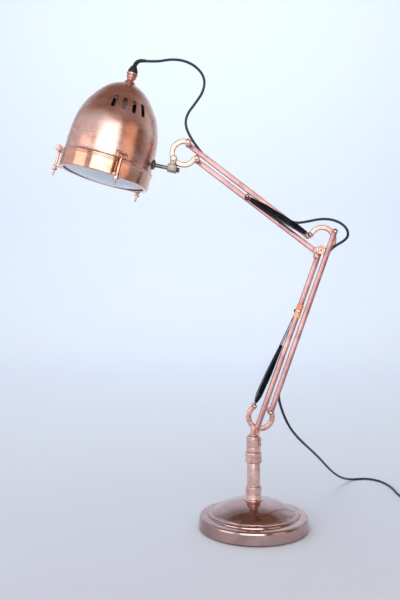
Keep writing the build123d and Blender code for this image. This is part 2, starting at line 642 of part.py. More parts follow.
for name, ends, face_y in (("upper_cable_clips", upper_held, bar_far), ("lower_cable_clips", lower_held, -bar_near)):
    along = (ends[1] - ends[0]).normalized()
    with BuildPart() as clips:
        for share in (0.06, 0.5, 0.94):
            at = ends[0] + (ends[1] - ends[0]) * share
            across = along.cross(Vector(0, 1, 0)).normalized()
            clip_plane = Plane(at - along * 3.0, x_dir=across, z_dir=along)
            y_sign = 1 if clip_plane.y_dir.Y > 0 else -1
            with BuildSketch(clip_plane):
                Circle(cord_r + 0.7)
                with Locations((0, -y_sign * (gap + cord_r - 0.35))):
                    Rectangle(8.4, 0.7)
                Circle(cord_r + fit, mode=Mode.SUBTRACT)
            extrude(amount=6.0)
        with BuildSketch(front.offset(-face_y)):
            Rectangle(900, 1800)
        extrude(amount=5.0, mode=Mode.SUBTRACT)
    save(clips, name)

# ---- free cords ----
head_loop = [(-195.5, 0, 851.2), (-176.0, 0.6, 850.2), (-152.0, 3.0, 855.8), (-127.0, 7.0, 855.0),
             (-104.0, 12.0, 845.5), (-88.5, 16.5, 826.0), (-91.0, 20.5, 803.0), (-105.5, 23.5, 782.0),
             (-121.5, 26.0, 762.5), (-125.8, 27.0, 743.0), (-116.5, held_far, 719.5),
             (-99.0, held_far, 695.0), (-84.0, held_far, 677.0), (-66.0, held_far, 662.2)]
elbow_loop = [(48.0, held_far, 575.0), (65.0, 27.2, 563.2), (84.0, 27.2, 558.4), (104.0, 24.0, 561.4),
              (124.0, 18.0, 565.2), (144.0, 10.5, 563.8), (160.5, 3.5, 556.2), (171.0, -2.5, 544.0),
              (171.5, -7.5, 531.0), (163.0, -11.0, 522.0), (150.5, -12.3, 515.4), (138.5, held_near, 506.4),
              (129.6, held_near, 493.6), (123.3, held_near, 478.4)]
lead = [(46.7, held_near, 262.1), (43.0, -12.0, 243.5), (50.5, -5.0, 215.5), (65.0, 12.0, 184.0),
        (84.0, 42.0, 158.0), (109.5, 84.0, 130.5), (138.0, 128.0, 101.5), (163.6, 174.0, 71.5),
        (189.0, 222.0, 42.5), (217.0, 270.0, 18.0), (247.0, 311.0, cord_r), (284.0, 322.0, cord_r),
        (308.5, 306.0, cord_r), (320.5, 276.0, cord_r), (324.5, 240.0, cord_r), (322.5, 205.0, cord_r),
        (324.5, 176.0, cord_r), (331.0, 151.0, cord_r)]
coil_centre = (362.0, 150.0)
coil_mid_r = 28.0                             # six turns, two wide and three high
coil_end = (331.6, 150.0, 3 * cord_r)
save(cord_tube(head_loop, "head_cord"), "head_cord")
save(cord_tube(elbow_loop, "elbow_cord"), "elbow_cord")
save(cord_tube(lead, "mains_lead"), "mains_lead")

with BuildPart() as cord_coil:
    with BuildSketch(Plane.XY):
        with Locations(coil_centre):
            Circle(coil_mid_r + 2 * cord_r)
            Circle(coil_mid_r - 2 * cord_r, mode=Mode.SUBTRACT)
    extrude(amount=6 * cord_r)
save(cord_coil, "cord_coil")

plug_tail = Vector(coil_end[0], 122.0, 3 * cord_r)
plug_t = 14.0
with BuildPart() as coil_tail:
    rod((coil_end[0], 140.0, coil_end[2]), plug_tail + Vector(0, 0.2, 0), cord_r)
save(coil_tail, "cord_tail")

with BuildPart() as plug:
    with BuildSketch(Plane.XY.offset(plug_tail.Z - plug_t / 2)):
        with BuildLine():
            Polyline((plug_tail.X - 5, plug_tail.Y), (plug_tail.X + 5, plug_tail.Y), (plug_tail.X + 13, plug_tail.Y - 16),
                     (plug_tail.X + 13, plug_tail.Y - 35), (plug_tail.X - 13, plug_tail.Y - 35),
                     (plug_tail.X - 13, plug_tail.Y - 16), close=True)
        make_face()
    extrude(amount=plug_t)
    fillet(plug.edges().filter_by(Axis.Z), 2.0)
    fillet(plug.faces().sort_by(Axis.Z)[-1].edges(), 1.5)
    for side in (-1, 1):
        pin_from = plug_tail + Vector(side * 9.3, -34.0, 0)
        rod(pin_from, pin_from + Vector(0, -20.0, 0), 2.2)
save(plug, "plug")
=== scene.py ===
import bpy
import bmesh
import json
from math import acos, atan2, cos, degrees, pi, radians, sin, sqrt, tan
from mathutils import Matrix, Vector


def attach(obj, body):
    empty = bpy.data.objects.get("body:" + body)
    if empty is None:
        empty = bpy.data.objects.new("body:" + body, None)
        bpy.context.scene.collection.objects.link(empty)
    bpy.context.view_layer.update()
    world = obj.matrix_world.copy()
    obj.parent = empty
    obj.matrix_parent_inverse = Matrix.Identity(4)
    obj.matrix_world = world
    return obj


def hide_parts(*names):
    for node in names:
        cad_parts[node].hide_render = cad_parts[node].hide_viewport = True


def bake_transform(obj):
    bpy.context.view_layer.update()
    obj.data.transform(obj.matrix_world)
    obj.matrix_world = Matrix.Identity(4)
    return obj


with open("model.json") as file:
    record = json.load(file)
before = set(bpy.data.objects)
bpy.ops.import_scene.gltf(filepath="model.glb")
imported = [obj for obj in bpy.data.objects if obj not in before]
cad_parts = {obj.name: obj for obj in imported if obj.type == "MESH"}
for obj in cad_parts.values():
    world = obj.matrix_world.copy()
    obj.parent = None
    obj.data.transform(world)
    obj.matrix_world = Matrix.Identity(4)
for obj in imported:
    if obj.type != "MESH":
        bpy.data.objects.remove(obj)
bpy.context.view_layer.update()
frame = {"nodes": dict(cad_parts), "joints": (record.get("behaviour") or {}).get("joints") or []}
print("frame loaded")

mm = 0.001
joints = {j["name"]: j for j in frame["joints"]}


def pivot(joint):
    # a joint's place in millimetres
    return Vector(joints[joint]["pos_m"]) / mm


basePivot, baseHorn = pivot("lower_main_follow"), pivot("lower_arm_tilt")
elbowPivot, elbowHorn, elbowHook = pivot("upper_low_follow"), pivot("elbow_level"), pivot("upper_arm_tilt")
headHigh, tiltPivot = pivot("head_level"), pivot("head_tilt")
studDir = Vector(joints["head_roll"]["axis"])
lowerDir = (elbowPivot - basePivot).normalized()
upperDir = (headHigh - elbowHook).normalized()
headLow = elbowPivot + (headHigh - elbowHook)

arms = {"bar": 9.0, "near": 15.0, "edge": 1.0, "hook": Vector((0.7, 0, 221.7)), "sleeve": 228.0,
        "upperPin": 163.0}
sleeveAt = basePivot + lowerDir * arms["sleeve"]
upperPinAt = elbowPivot + upperDir * arms["upperPin"]
far = arms["near"] + arms["bar"]

head = {"lean": radians(15.4), "foot": Vector((-273.4, 0, 639.0)), "ring": 83.2, "ringLow": -3.0,
        "clampAngles": (-67, 53, 173), "pinOut": 94.5, "pinUp": 31.0}
headX = Vector((cos(head["lean"]), 0, -sin(head["lean"])))
headZ = Vector((sin(head["lean"]), 0, cos(head["lean"])))


# ---- small helpers ----
def linear(hexColour):
    # sRGB hex to linear RGBA
    channels = [int(hexColour[i:i + 2], 16) / 255 for i in (1, 3, 5)]
    return [c / 12.92 if c <= 0.04045 else ((c + 0.055) / 1.055) ** 2.4 for c in channels] + [1.0]


def addNode(tree, kind, inputs=None, **settings):
    # a node with its settings, and its inputs set or linked
    made = tree.nodes.new(kind)
    for key, value in settings.items():
        setattr(made, key, value)
    for key, value in (inputs or {}).items():
        if isinstance(value, bpy.types.NodeSocket):
            tree.links.new(value, made.inputs[key])
        else:
            made.inputs[key].default_value = value
    return made


def placeAt(origin, zDir, xHint=Vector((1, 0, 0))):
    # a matrix whose Z is zDir and whose X is as near xHint as it can be
    z = Vector(zDir).normalized()
    x = Vector(xHint) - z * Vector(xHint).dot(z)
    if x.length < 1e-6:
        x = z.orthogonal()
    x.normalize()
    y = z.cross(x)
    turned = Matrix((x, y, z)).transposed().to_4x4()
    return Matrix.Translation(origin) @ turned


def softened(points, steps=4):
    # an outline whose corners (x, y, radius) are rounded
    out = []
    for i, point in enumerate(points):
        here = Vector(point[:2])
        radius = point[2] if len(point) > 2 else 0
        if radius <= 0:
            out.append(here)
            continue
        before, after = Vector(points[i - 1][:2]) - here, Vector(points[(i + 1) % len(points)][:2]) - here
        half = before.angle(after) / 2
        reach = min(radius / tan(half), before.length * 0.49, after.length * 0.49)
        start, end = here + before.normalized() * reach, here + after.normalized() * reach
        for k in range(steps + 1):
            t = k / steps
            out.append((1 - t) ** 2 * start + 2 * t * (1 - t) * here + t * t * end)
    return out


def arcPoints(centre, radius, start, end, steps):
    # points of a flat arc, angles in degrees
    angles = [radians(start + (end - start) * k / steps) for k in range(steps + 1)]
    return [Vector((centre[0] + radius * cos(a), centre[1] + radius * sin(a))) for a in angles]


def meshFrom(verts, faces):
    mesh = bpy.data.meshes.new("part")
    mesh.from_pydata([tuple(v) for v in verts], [], faces)
    return mesh


def lathe(outline, place=Matrix.Identity(4), steps=96):
    # a turned solid from a closed outline of (radius, height)
    verts, faces, rings = [], [], []
    for point in outline:
        r, h = point[0], point[1]
        count = 1 if r < 1e-6 else steps
        rings.append((len(verts), count))
        for k in range(count):
            a = 2 * pi * k / steps
            verts.append(place @ Vector((r * cos(a), r * sin(a), h)))
    for i in range(len(outline)):
        (a, na), (b, nb) = rings[i], rings[(i + 1) % len(outline)]
        for k in range(steps):
            k2 = (k + 1) % steps
            if na == 1 and nb == 1:
                continue
            if na == 1:
                faces.append((a, b + k, b + k2))
            elif nb == 1:
                faces.append((a + k, b, a + k2))
            else:
                faces.append((a + k, b + k, b + k2, a + k2))
    return meshFrom(verts, faces)


def turnedRod(start, end, radius, edge=0.3, steps=32):
    # a round rod with softened ends
    start, end = Vector(start), Vector(end)
    length = (end - start).length
    outline = softened([(0, 0), (radius, 0, edge), (radius, length, edge), (0, length)], 3)
    return lathe(outline, placeAt(start, end - start), steps)


def plate(outline, yLow, yHigh, edge=0.8, place=None):
    # a flat shape in X and Z with rounded rims, between two Y planes
    count = len(outline)
    levels = []
    for k in range(4):
        a = pi / 2 * k / 3
        levels.append((edge * (1 - sin(a)), edge * (1 - cos(a))))
    rings = [(yLow + d, inset) for inset, d in levels] + [(yHigh - d, inset) for inset, d in reversed(levels)]
    verts = []
    for y, inset in rings:
        for i in range(count):
            here = Vector(outline[i])
            before, after = Vector(outline[i - 1]), Vector(outline[(i + 1) % count])
            along = (after - before).normalized()
            inward = Vector((-along.y, along.x))
            verts.append((here.x + inward.x * inset, y, here.y + inward.y * inset))
    faces = [tuple(range(count))]
    for level in range(len(rings) - 1):
        a, b = level * count, (level + 1) * count
        for k in range(count):
            k2 = (k + 1) % count
            faces.append((a + k, a + k2, b + k2, b + k))
    faces.append(tuple(reversed(range((len(rings) - 1) * count, len(rings) * count))))
    mesh = meshFrom(verts, faces)
    if place:
        mesh.transform(place)
    return mesh


def tube(points, section, up=Vector((0, 1, 0))):
    # a section of (side, up) points swept along a path, its up side held near the up direction
    verts, faces = [], []
    count, ring = len(points), len(section)
    for i, point in enumerate(points):
        ahead, behind = points[min(i + 1, count - 1)], points[max(i - 1, 0)]
        tangent = (Vector(ahead) - Vector(behind)).normalized()
        side = tangent.cross(up).normalized()
        lift = side.cross(tangent).normalized()
        for sx, sy in section:
            verts.append(Vector(point) + side * sx + lift * sy)
    for i in range(count - 1):
        a, b = i * ring, (i + 1) * ring
        for k in range(ring):
            k2 = (k + 1) % ring
            faces.append((a + k, a + k2, b + k2, b + k))
    faces.append(tuple(reversed(range(ring))))
    faces.append(tuple(range((count - 1) * ring, count * ring)))
    return meshFrom(verts, faces)


def roundWire(points, radius, steps=10):
    # a round wire along a path, without twist
    verts, faces = [], []
    normal = (Vector(points[1]) - Vector(points[0])).orthogonal().normalized()
    for i, point in enumerate(points):
        ahead, behind = points[min(i + 1, len(points) - 1)], points[max(i - 1, 0)]
        tangent = (Vector(ahead) - Vector(behind)).normalized()
        normal = (normal - tangent * normal.dot(tangent)).normalized()
        side = tangent.cross(normal)
        size = radius(i / (len(points) - 1)) if callable(radius) else radius
        for k in range(steps):
            a = 2 * pi * k / steps
            verts.append(Vector(point) + normal * (cos(a) * size) + side * (sin(a) * size))
    for i in range(len(points) - 1):
        for k in range(steps):
            k2 = (k + 1) % steps
            faces.append((i * steps + k, i * steps + k2, (i + 1) * steps + k2, (i + 1) * steps + k))
    faces.append(tuple(reversed(range(steps))))
    faces.append(tuple(range((len(points) - 1) * steps, len(points) * steps)))
    return meshFrom(verts, faces)


def piece(name, parts, finish, body=None, stands=(), scale=mm, sharp=35, recalc=True):
    # one object from mesh parts, with its finish, body and the CAD nodes it stands for
    joined = bmesh.new()
    for part in parts:
        joined.from_mesh(part)
        bpy.data.meshes.remove(part)
    bmesh.ops.remove_doubles(joined, verts=joined.verts, dist=1e-6 / scale * 0.001)
    if recalc:
        bmesh.ops.recalc_face_normals(joined, faces=joined.faces)
    mesh = bpy.data.meshes.new(name)
    joined.to_mesh(mesh)
    joined.free()
    mesh.transform(Matrix.Scale(scale, 4))
    mesh.materials.clear()
    mesh.materials.append(finish)
    for face in mesh.polygons:
        face.use_smooth = True
        face.material_index = 0
    mesh.set_sharp_from_angle(angle=radians(sharp))
    made = bpy.data.objects.new(name, mesh)
    bpy.context.scene.collection.objects.link(made)
    if body:
        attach(made, body)
    if stands:
        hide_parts(*stands)
    return made


# ---- geometry nodes: a wound wire and a ring of ribs ----
def nodeTree(name, inputs):
    tree = bpy.data.node_groups.new(name, "GeometryNodeTree")
    for label, kind in inputs:
        tree.interface.new_socket(label, in_out="INPUT", socket_type=kind)
    tree.interface.new_socket("Geometry", in_out="OUTPUT", socket_type="NodeSocketGeometry")
    entry = addNode(tree, "NodeGroupInput")
    return tree, {label: entry.outputs[label] for label, _ in inputs}


def closeTree(tree, geometry):
    realized = addNode(tree, "GeometryNodeRealizeInstances", {"Geometry": geometry})
    finished = addNode(tree, "GeometryNodeSetMaterial", {"Geometry": realized.outputs[0]})
    addNode(tree, "NodeGroupOutput", {"Geometry": finished.outputs[0]})
    return tree


def woundWireTree():
    tree, given = nodeTree("woundWire", [("Turns", "NodeSocketFloat"), ("Radius", "NodeSocketFloat"),
                                         ("Height", "NodeSocketFloat"), ("Wire", "NodeSocketFloat"),
                                         ("Steps", "NodeSocketInt")])
    spiral = addNode(tree, "GeometryNodeCurveSpiral", {
        "Resolution": given["Steps"], "Rotations": given["Turns"], "Start Radius": given["Radius"],
        "End Radius": given["Radius"], "Height": given["Height"]})
    ring = addNode(tree, "GeometryNodeCurvePrimitiveCircle", {"Resolution": 8, "Radius": given["Wire"]})
    wire = addNode(tree, "GeometryNodeCurveToMesh", {
        "Curve": spiral.outputs[0], "Profile Curve": ring.outputs[0], "Fill Caps": True})
    return closeTree(tree, wire.outputs[0])


def ribRingTree():
    tree, given = nodeTree("ribRing", [("Count", "NodeSocketInt"), ("Radius", "NodeSocketFloat"),
                                       ("Length", "NodeSocketFloat"), ("Rib", "NodeSocketFloat")])
    circle = addNode(tree, "GeometryNodeMeshCircle", {"Vertices": given["Count"], "Radius": given["Radius"]})
    rib = addNode(tree, "GeometryNodeMeshCylinder", {"Vertices": 6, "Radius": given["Rib"],
                                                     "Depth": given["Length"]})
    placed = addNode(tree, "GeometryNodeInstanceOnPoints", {
        "Points": circle.outputs[0], "Instance": rib.outputs["Mesh"]})
    return closeTree(tree, placed.outputs[0])


trees = {"woundWire": woundWireTree(), "ribRing": ribRingTree()}


def fromTree(treeName, values, place):
    # the tree's result as a plain mesh, moved to its place
    carrier = bpy.data.objects.new("carrier", bpy.data.meshes.new("carrier"))
    bpy.context.scene.collection.objects.link(carrier)
    modifier = carrier.modifiers.new("build", "NODES")
    modifier.node_group = trees[treeName]
    for item in trees[treeName].interface.items_tree:
        if item.in_out == "INPUT" and item.name in values:
            modifier[item.identifier] = values[item.name]
    bpy.context.view_layer.update()
    evaluated = carrier.evaluated_get(bpy.context.evaluated_depsgraph_get())
    mesh = bpy.data.meshes.new_from_object(evaluated)
    carrier.modifiers.clear()
    bpy.data.objects.remove(carrier)
    mesh.transform(place)
    return mesh


# ---- camera, stage and light ----
view = {"lens": 39.66, "place": (-0.0977, -1.207, 0.415), "roll": 0.0}
camera = bpy.data.objects.new("camera", bpy.data.cameras.new("camera"))
camera.data.lens = view["lens"]
camera.data.sensor_width = 36.0
camera.data.clip_end = 50.0
camera.location = view["place"]
camera.rotation_euler = (pi / 2, view["roll"], 0)
bpy.context.scene.collection.objects.link(camera)
bpy.context.scene.camera = camera

sweepRoom = {"floor": "#CBD0D8", "wall": "#E6F0FA", "back": 2.6, "bend": 1.1, "width": 12.0,
             "front": -6.0, "top": 7.0}


def paperSweep():
    # matt paper, pale blue, rising behind the lamp in one bend
    path = [(sweepRoom["front"], 0.0)]
    path += [(sweepRoom["back"] + sweepRoom["bend"] * sin(radians(a)), sweepRoom["bend"] * (1 - cos(radians(a))))
             for a in range(0, 91, 6)]
    path.append((sweepRoom["back"] + sweepRoom["bend"], sweepRoom["top"]))
    half = sweepRoom["width"] / 2
    verts = [(x, y, z) for y, z in path for x in (-half, half)]
    faces = [(2 * i, 2 * i + 1, 2 * i + 3, 2 * i + 2) for i in range(len(path) - 1)]
    mesh = meshFrom(verts, faces)
    for face in mesh.polygons:
        face.use_smooth = True
    paper = bpy.data.materials.new("mattPaper")
    paper.use_nodes = True
    tree = paper.node_tree
    shader = tree.nodes["Principled BSDF"]
    shader.inputs["Roughness"].default_value = 0.85
    shader.inputs["Specular IOR Level"].default_value = 0.15
    where = addNode(tree, "ShaderNodeTexCoord")
    split = addNode(tree, "ShaderNodeSeparateXYZ", {0: where.outputs["Object"]})
    # one paper, its colour graded from the greyer floor to the paler wall: painted shade on the floor, painted light up
    # the wall
    ramp = addNode(tree, "ShaderNodeMapRange", {"Value": split.outputs["Y"], "From Min": -0.2, "From Max": 3.4})
    mixed = addNode(tree, "ShaderNodeMix", {"Factor": ramp.outputs[0]}, data_type="RGBA")
    mixed.inputs[6].default_value = linear(sweepRoom["floor"])
    mixed.inputs[7].default_value = linear(sweepRoom["wall"])
    tree.links.new(mixed.outputs[2], shader.inputs["Base Color"])
    mesh.materials.append(paper)
    made = bpy.data.objects.new("paperSweep", mesh)
    bpy.context.scene.collection.objects.link(made)


lights = {
    "window": {"place": (-0.35, -2.9, 1.05), "size": (2.7, 2.1), "power": 50, "colour": "#F8FAFF", "seen": True},
    "overhead": {"place": (-0.5, -0.2, 2.9), "size": (2.4, 2.4), "power": 30, "colour": "#F4F8FF", "seen": False},
    "fill": {"place": (2.0, -1.8, 0.9), "size": (1.5, 1.6), "power": 7, "colour": "#FFD4B4", "seen": True},
    "side": {"place": (-2.7, -1.5, 0.9), "size": (1.6, 2.2), "power": 15, "colour": "#FFF4F2", "seen": True},
    "wallWash": {"place": (0.0, 1.4, 3.4), "size": (5.0, 1.2), "power": 64, "colour": "#F0F6FF", "seen": False},
}
room = {"bright": "#E8EEF6", "dim": "#6C5242", "dimSide": (0.80, -0.60, -0.05), "above": "#8C7263",
        "strength": 0.95}


def studioLights():
    for name, light in lights.items():
        lamp = bpy.data.lights.new(name, "AREA")
        lamp.shape = "RECTANGLE"
        lamp.size, lamp.size_y = light["size"]
        lamp.energy = light["power"]
        lamp.color = linear(light["colour"])[:3]
        made = bpy.data.objects.new(name, lamp)
        made.location = light["place"]
        # a hidden light brightens paper and flex but isn't mirrored in the copper
        made.visible_glossy = light["seen"]
        aim = Vector((0, 3.4, 1.2)) if name == "wallWash" else Vector((-0.05, 0, 0.45))
        made.rotation_euler = (aim - Vector(light["place"])).to_track_quat("-Z", "Y").to_euler()
        bpy.context.scene.collection.objects.link(made)
    world = bpy.data.worlds.new("room")
    world.use_nodes = True
    tree = world.node_tree
    where = addNode(tree, "ShaderNodeTexCoord")
    towards = addNode(tree, "ShaderNodeVectorMath", {0: where.outputs["Generated"], 1: room["dimSide"]},
                      operation="DOT_PRODUCT")
    share = addNode(tree, "ShaderNodeMapRange", {"Value": towards.outputs["Value"], "From Min": 0.45,
                                                 "From Max": 0.9})
    mixed = addNode(tree, "ShaderNodeMix", {"Factor": share.outputs[0]}, data_type="RGBA")
    mixed.inputs[6].default_value = linear(room["bright"])
    mixed.inputs[7].default_value = linear(room["dim"])
    split = addNode(tree, "ShaderNodeSeparateXYZ", {0: where.outputs["Generated"]})
    height = addNode(tree, "ShaderNodeMapRange", {"Value": split.outputs["Z"], "From Min": 0.45, "From Max": 0.85})
    capped = addNode(tree, "ShaderNodeMix", {"Factor": height.outputs[0], 6: mixed.outputs[2]}, data_type="RGBA")
    capped.inputs[7].default_value = linear(room["above"])
    tree.links.new(capped.outputs[2], tree.nodes["Background"].inputs["Color"])
    tree.nodes["Background"].inputs["Strength"].default_value = room["strength"]
    bpy.context.scene.world = world


paperSweep()
studioLights()
bpy.context.scene.view_settings.view_transform = "Standard"
print("camera, paper and lights")


# ---- finishes ----
def newFinish(name):
    made = bpy.data.materials.new(name)
    made.use_nodes = True
    return made, made.node_tree, made.node_tree.nodes["Principled BSDF"]


def localCoords(tree, origin=(0, 0, 0), turn=(0, 0, 0)):
    # object coordinates in millimetres, centred and turned for one piece
    where = addNode(tree, "ShaderNodeTexCoord")
    moved = addNode(tree, "ShaderNodeVectorMath", {0: where.outputs["Object"], 1: Vector(origin) * mm},
                    operation="SUBTRACT")
    turned = addNode(tree, "ShaderNodeMapping", {"Vector": moved.outputs[0], "Rotation": turn,
                                                 "Scale": (1000, 1000, 1000)})
    return turned.outputs[0]


def copperFinish(name, look):
    # copper: full metal; tarnish clouds darken and dull it, fine lines or pits break the highlight
    made, tree, shader = newFinish(name)
    spot = localCoords(tree, look.get("origin", (0, 0, 0)), look.get("turn", (0, 0, 0)))
    stretched = addNode(tree, "ShaderNodeMapping", {"Vector": spot, "Scale": look.get("cloudStretch", (1, 1, 1))})
    clouds = addNode(tree, "ShaderNodeTexNoise", {"Vector": stretched.outputs[0], "Scale": look["cloudScale"],
                                                  "Detail": 6.0, "Roughness": 0.6, "Distortion": 0.6})
    fine = addNode(tree, "ShaderNodeTexNoise", {"Vector": spot, "Scale": look.get("speckle", 0.55), "Detail": 3.0})
    ramp = addNode(tree, "ShaderNodeValToRGB", {"Fac": clouds.outputs["Fac"]})
    stops = ramp.color_ramp.elements
    stops[0].position, stops[0].color = 0.30, linear(look["dark"])
    stops[1].position, stops[1].color = 0.70, linear(look["light"])
    middle = stops.new(0.5)
    middle.color = linear(look["mid"])
    spots = addNode(tree, "ShaderNodeMapRange", {"Value": fine.outputs["Fac"], "From Min": 0.58, "From Max": 0.78,
                                                 "To Min": 0.0, "To Max": look.get("spotStrength", 0.35)})
    coloured = addNode(tree, "ShaderNodeMix", {"Factor": spots.outputs[0]}, data_type="RGBA")
    tree.links.new(ramp.outputs[0], coloured.inputs[6])
    coloured.inputs[7].default_value = linear(look["spot"])
    tree.links.new(coloured.outputs[2], shader.inputs["Base Color"])
    linesAt = addNode(tree, "ShaderNodeMapping", {"Vector": spot, "Scale": look["lineStretch"]})
    lines = addNode(tree, "ShaderNodeTexNoise", {"Vector": linesAt.outputs[0], "Scale": 1.0, "Detail": 4.0,
                                                 "Roughness": 0.65})
    mixedRough = addNode(tree, "ShaderNodeMath", {0: lines.outputs["Fac"], 1: clouds.outputs["Fac"]},
                         operation="ADD")
    rough = addNode(tree, "ShaderNodeMapRange", {"Value": mixedRough.outputs[0], "From Min": 0.7, "From Max": 1.3,
                                                 "To Min": look["rough"][0], "To Max": look["rough"][1]})
    tree.links.new(rough.outputs[0], shader.inputs["Roughness"])
    height = addNode(tree, "ShaderNodeMath", {0: lines.outputs["Fac"], 1: look["lineDepth"]}, operation="MULTIPLY")
    dents = addNode(tree, "ShaderNodeTexNoise", {"Vector": spot, "Scale": look.get("dentScale", 0.06),
                                                 "Detail": 1.5})
    dented = addNode(tree, "ShaderNodeMath", {0: dents.outputs["Fac"], 1: look.get("dentDepth", 0.0),
                                              2: height.outputs[0]}, operation="MULTIPLY_ADD")
    bump = addNode(tree, "ShaderNodeBump", {"Height": dented.outputs[0], "Strength": 1.0, "Distance": 0.001})
    tree.links.new(bump.outputs[0], shader.inputs["Normal"])
    shader.inputs["Metallic"].default_value = 1.0
    return made


headTurn = (0, -head["lean"], 0)
finishes = {
    # spun copper, hand polished and left to tarnish: near mirror, faintly cloudy, with turned lines
    "spunCopper": copperFinish("spunCopper", {
        "origin": head["foot"], "turn": headTurn, "light": "#EFCDC2", "mid": "#E4B5A6", "dark": "#C28C78",
        "spot": "#8A5540", "cloudScale": 0.016, "cloudStretch": (1, 1, 1.5), "lineStretch": (0.02, 0.02, 2.2),
        "rough": (0.20, 0.34), "lineDepth": 0.004, "dentScale": 0.02, "dentDepth": 0.35, "spotStrength": 0.2}),
    # polished band round the lens: brighter than the shade
    "ringCopper": copperFinish("ringCopper", {
        "origin": head["foot"], "turn": headTurn, "light": "#F0C6B0", "mid": "#E2AC92", "dark": "#BC8268",
        "spot": "#8A5540", "cloudScale": 0.02, "lineStretch": (0.02, 0.02, 2.5), "rough": (0.08, 0.2),
        "lineDepth": 0.004, "spotStrength": 0.25}),
    # cast copper, tumbled: satin, the cast skin just uneven enough to break the highlight
    "castCopper": copperFinish("castCopper", {
        "light": "#E2BBAC", "mid": "#CE9F90", "dark": "#A8776A", "spot": "#7E5245", "cloudScale": 0.06,
        "lineStretch": (0.6, 0.6, 0.6), "rough": (0.2, 0.36), "lineDepth": 0.05, "dentScale": 0.15,
        "dentDepth": 0.12, "spotStrength": 0.25}),
    # drawn square bar, copper plated: pinkish, with a soft drift along its length
    "drawnCopper": copperFinish("drawnCopper", {
        "light": "#BC958E", "mid": "#A57B76", "dark": "#85605D", "spot": "#8A625E", "cloudScale": 0.03,
        "lineStretch": (0.8, 0.8, 0.8), "rough": (0.22, 0.36), "lineDepth": 0.01, "spotStrength": 0.25}),
    # satin plated base: mauve, polished enough to mirror the post
    "turnedCopper": copperFinish("turnedCopper", {
        "light": "#C9ACA6", "mid": "#B99892", "dark": "#A3817C", "spot": "#8E6C66", "cloudScale": 0.012,
        "cloudStretch": (1, 1, 2.0), "lineStretch": (0.02, 0.02, 2.0), "rough": (0.10, 0.2), "lineDepth": 0.003,
        "spotStrength": 0.12}),
    # turned post and collars: warmer and lighter than the base
    "postCopper": copperFinish("postCopper", {
        "light": "#F2D4CB", "mid": "#E7C0B5", "dark": "#C6988A", "spot": "#8A5A4A", "cloudScale": 0.03,
        "cloudStretch": (1, 1, 2.0), "lineStretch": (0.05, 0.05, 2.0), "rough": (0.16, 0.3), "lineDepth": 0.006,
        "spotStrength": 0.25}),
    # small turned fittings: bright edges, brown where hands don't reach
    "boltCopper": copperFinish("boltCopper", {
        "light": "#F0CDBD", "mid": "#DBAA96", "dark": "#A87460", "spot": "#6A4236", "cloudScale": 0.09,
        "lineStretch": (0.8, 0.8, 0.8), "rough": (0.12, 0.28), "lineDepth": 0.008, "spotStrength": 0.4}),
    # warm band of raw copper round the main bar
    "rawCopper": copperFinish("rawCopper", {
        "light": "#CC8E62", "mid": "#B8744A", "dark": "#925431", "spot": "#7E4A30", "cloudScale": 0.06,
        "lineStretch": (0.8, 0.8, 0.8), "rough": (0.16, 0.3), "lineDepth": 0.01}),
    # dull nickel plate over brass, greenish grey with a warm cast where it has worn
    "dullNickel": copperFinish("dullNickel", {
        "light": "#9C9585", "mid": "#7A7162", "dark": "#564A3E", "spot": "#6A4A38", "cloudScale": 0.09,
        "lineStretch": (0.8, 0.8, 0.8), "rough": (0.18, 0.34), "lineDepth": 0.01}),
    # spring wire blackened in oil: dark with a wet edge
    "oiledSpring": copperFinish("oiledSpring", {
        "light": "#3E4245", "mid": "#26292C", "dark": "#141618", "spot": "#0E0E10", "cloudScale": 0.1,
        "lineStretch": (1.5, 1.5, 1.5), "rough": (0.3, 0.5), "lineDepth": 0.01}),
    # zinc plated steel: pale grey, slightly cloudy
    "zincSteel": copperFinish("zincSteel", {
        "light": "#C9CBCD", "mid": "#AEB1B4", "dark": "#8C8F93", "spot": "#77797C", "cloudScale": 0.1,
        "lineStretch": (1.0, 1.0, 1.0), "rough": (0.3, 0.5), "lineDepth": 0.01}),
    # sand-cast iron: dark and rough
    "sandCastIron": copperFinish("sandCastIron", {
        "light": "#4B4A49", "mid": "#353433", "dark": "#232221", "spot": "#5A3A2A", "cloudScale": 0.08,
        "lineStretch": (0.8, 0.8, 0.8), "rough": (0.6, 0.85), "lineDepth": 0.4}),
}


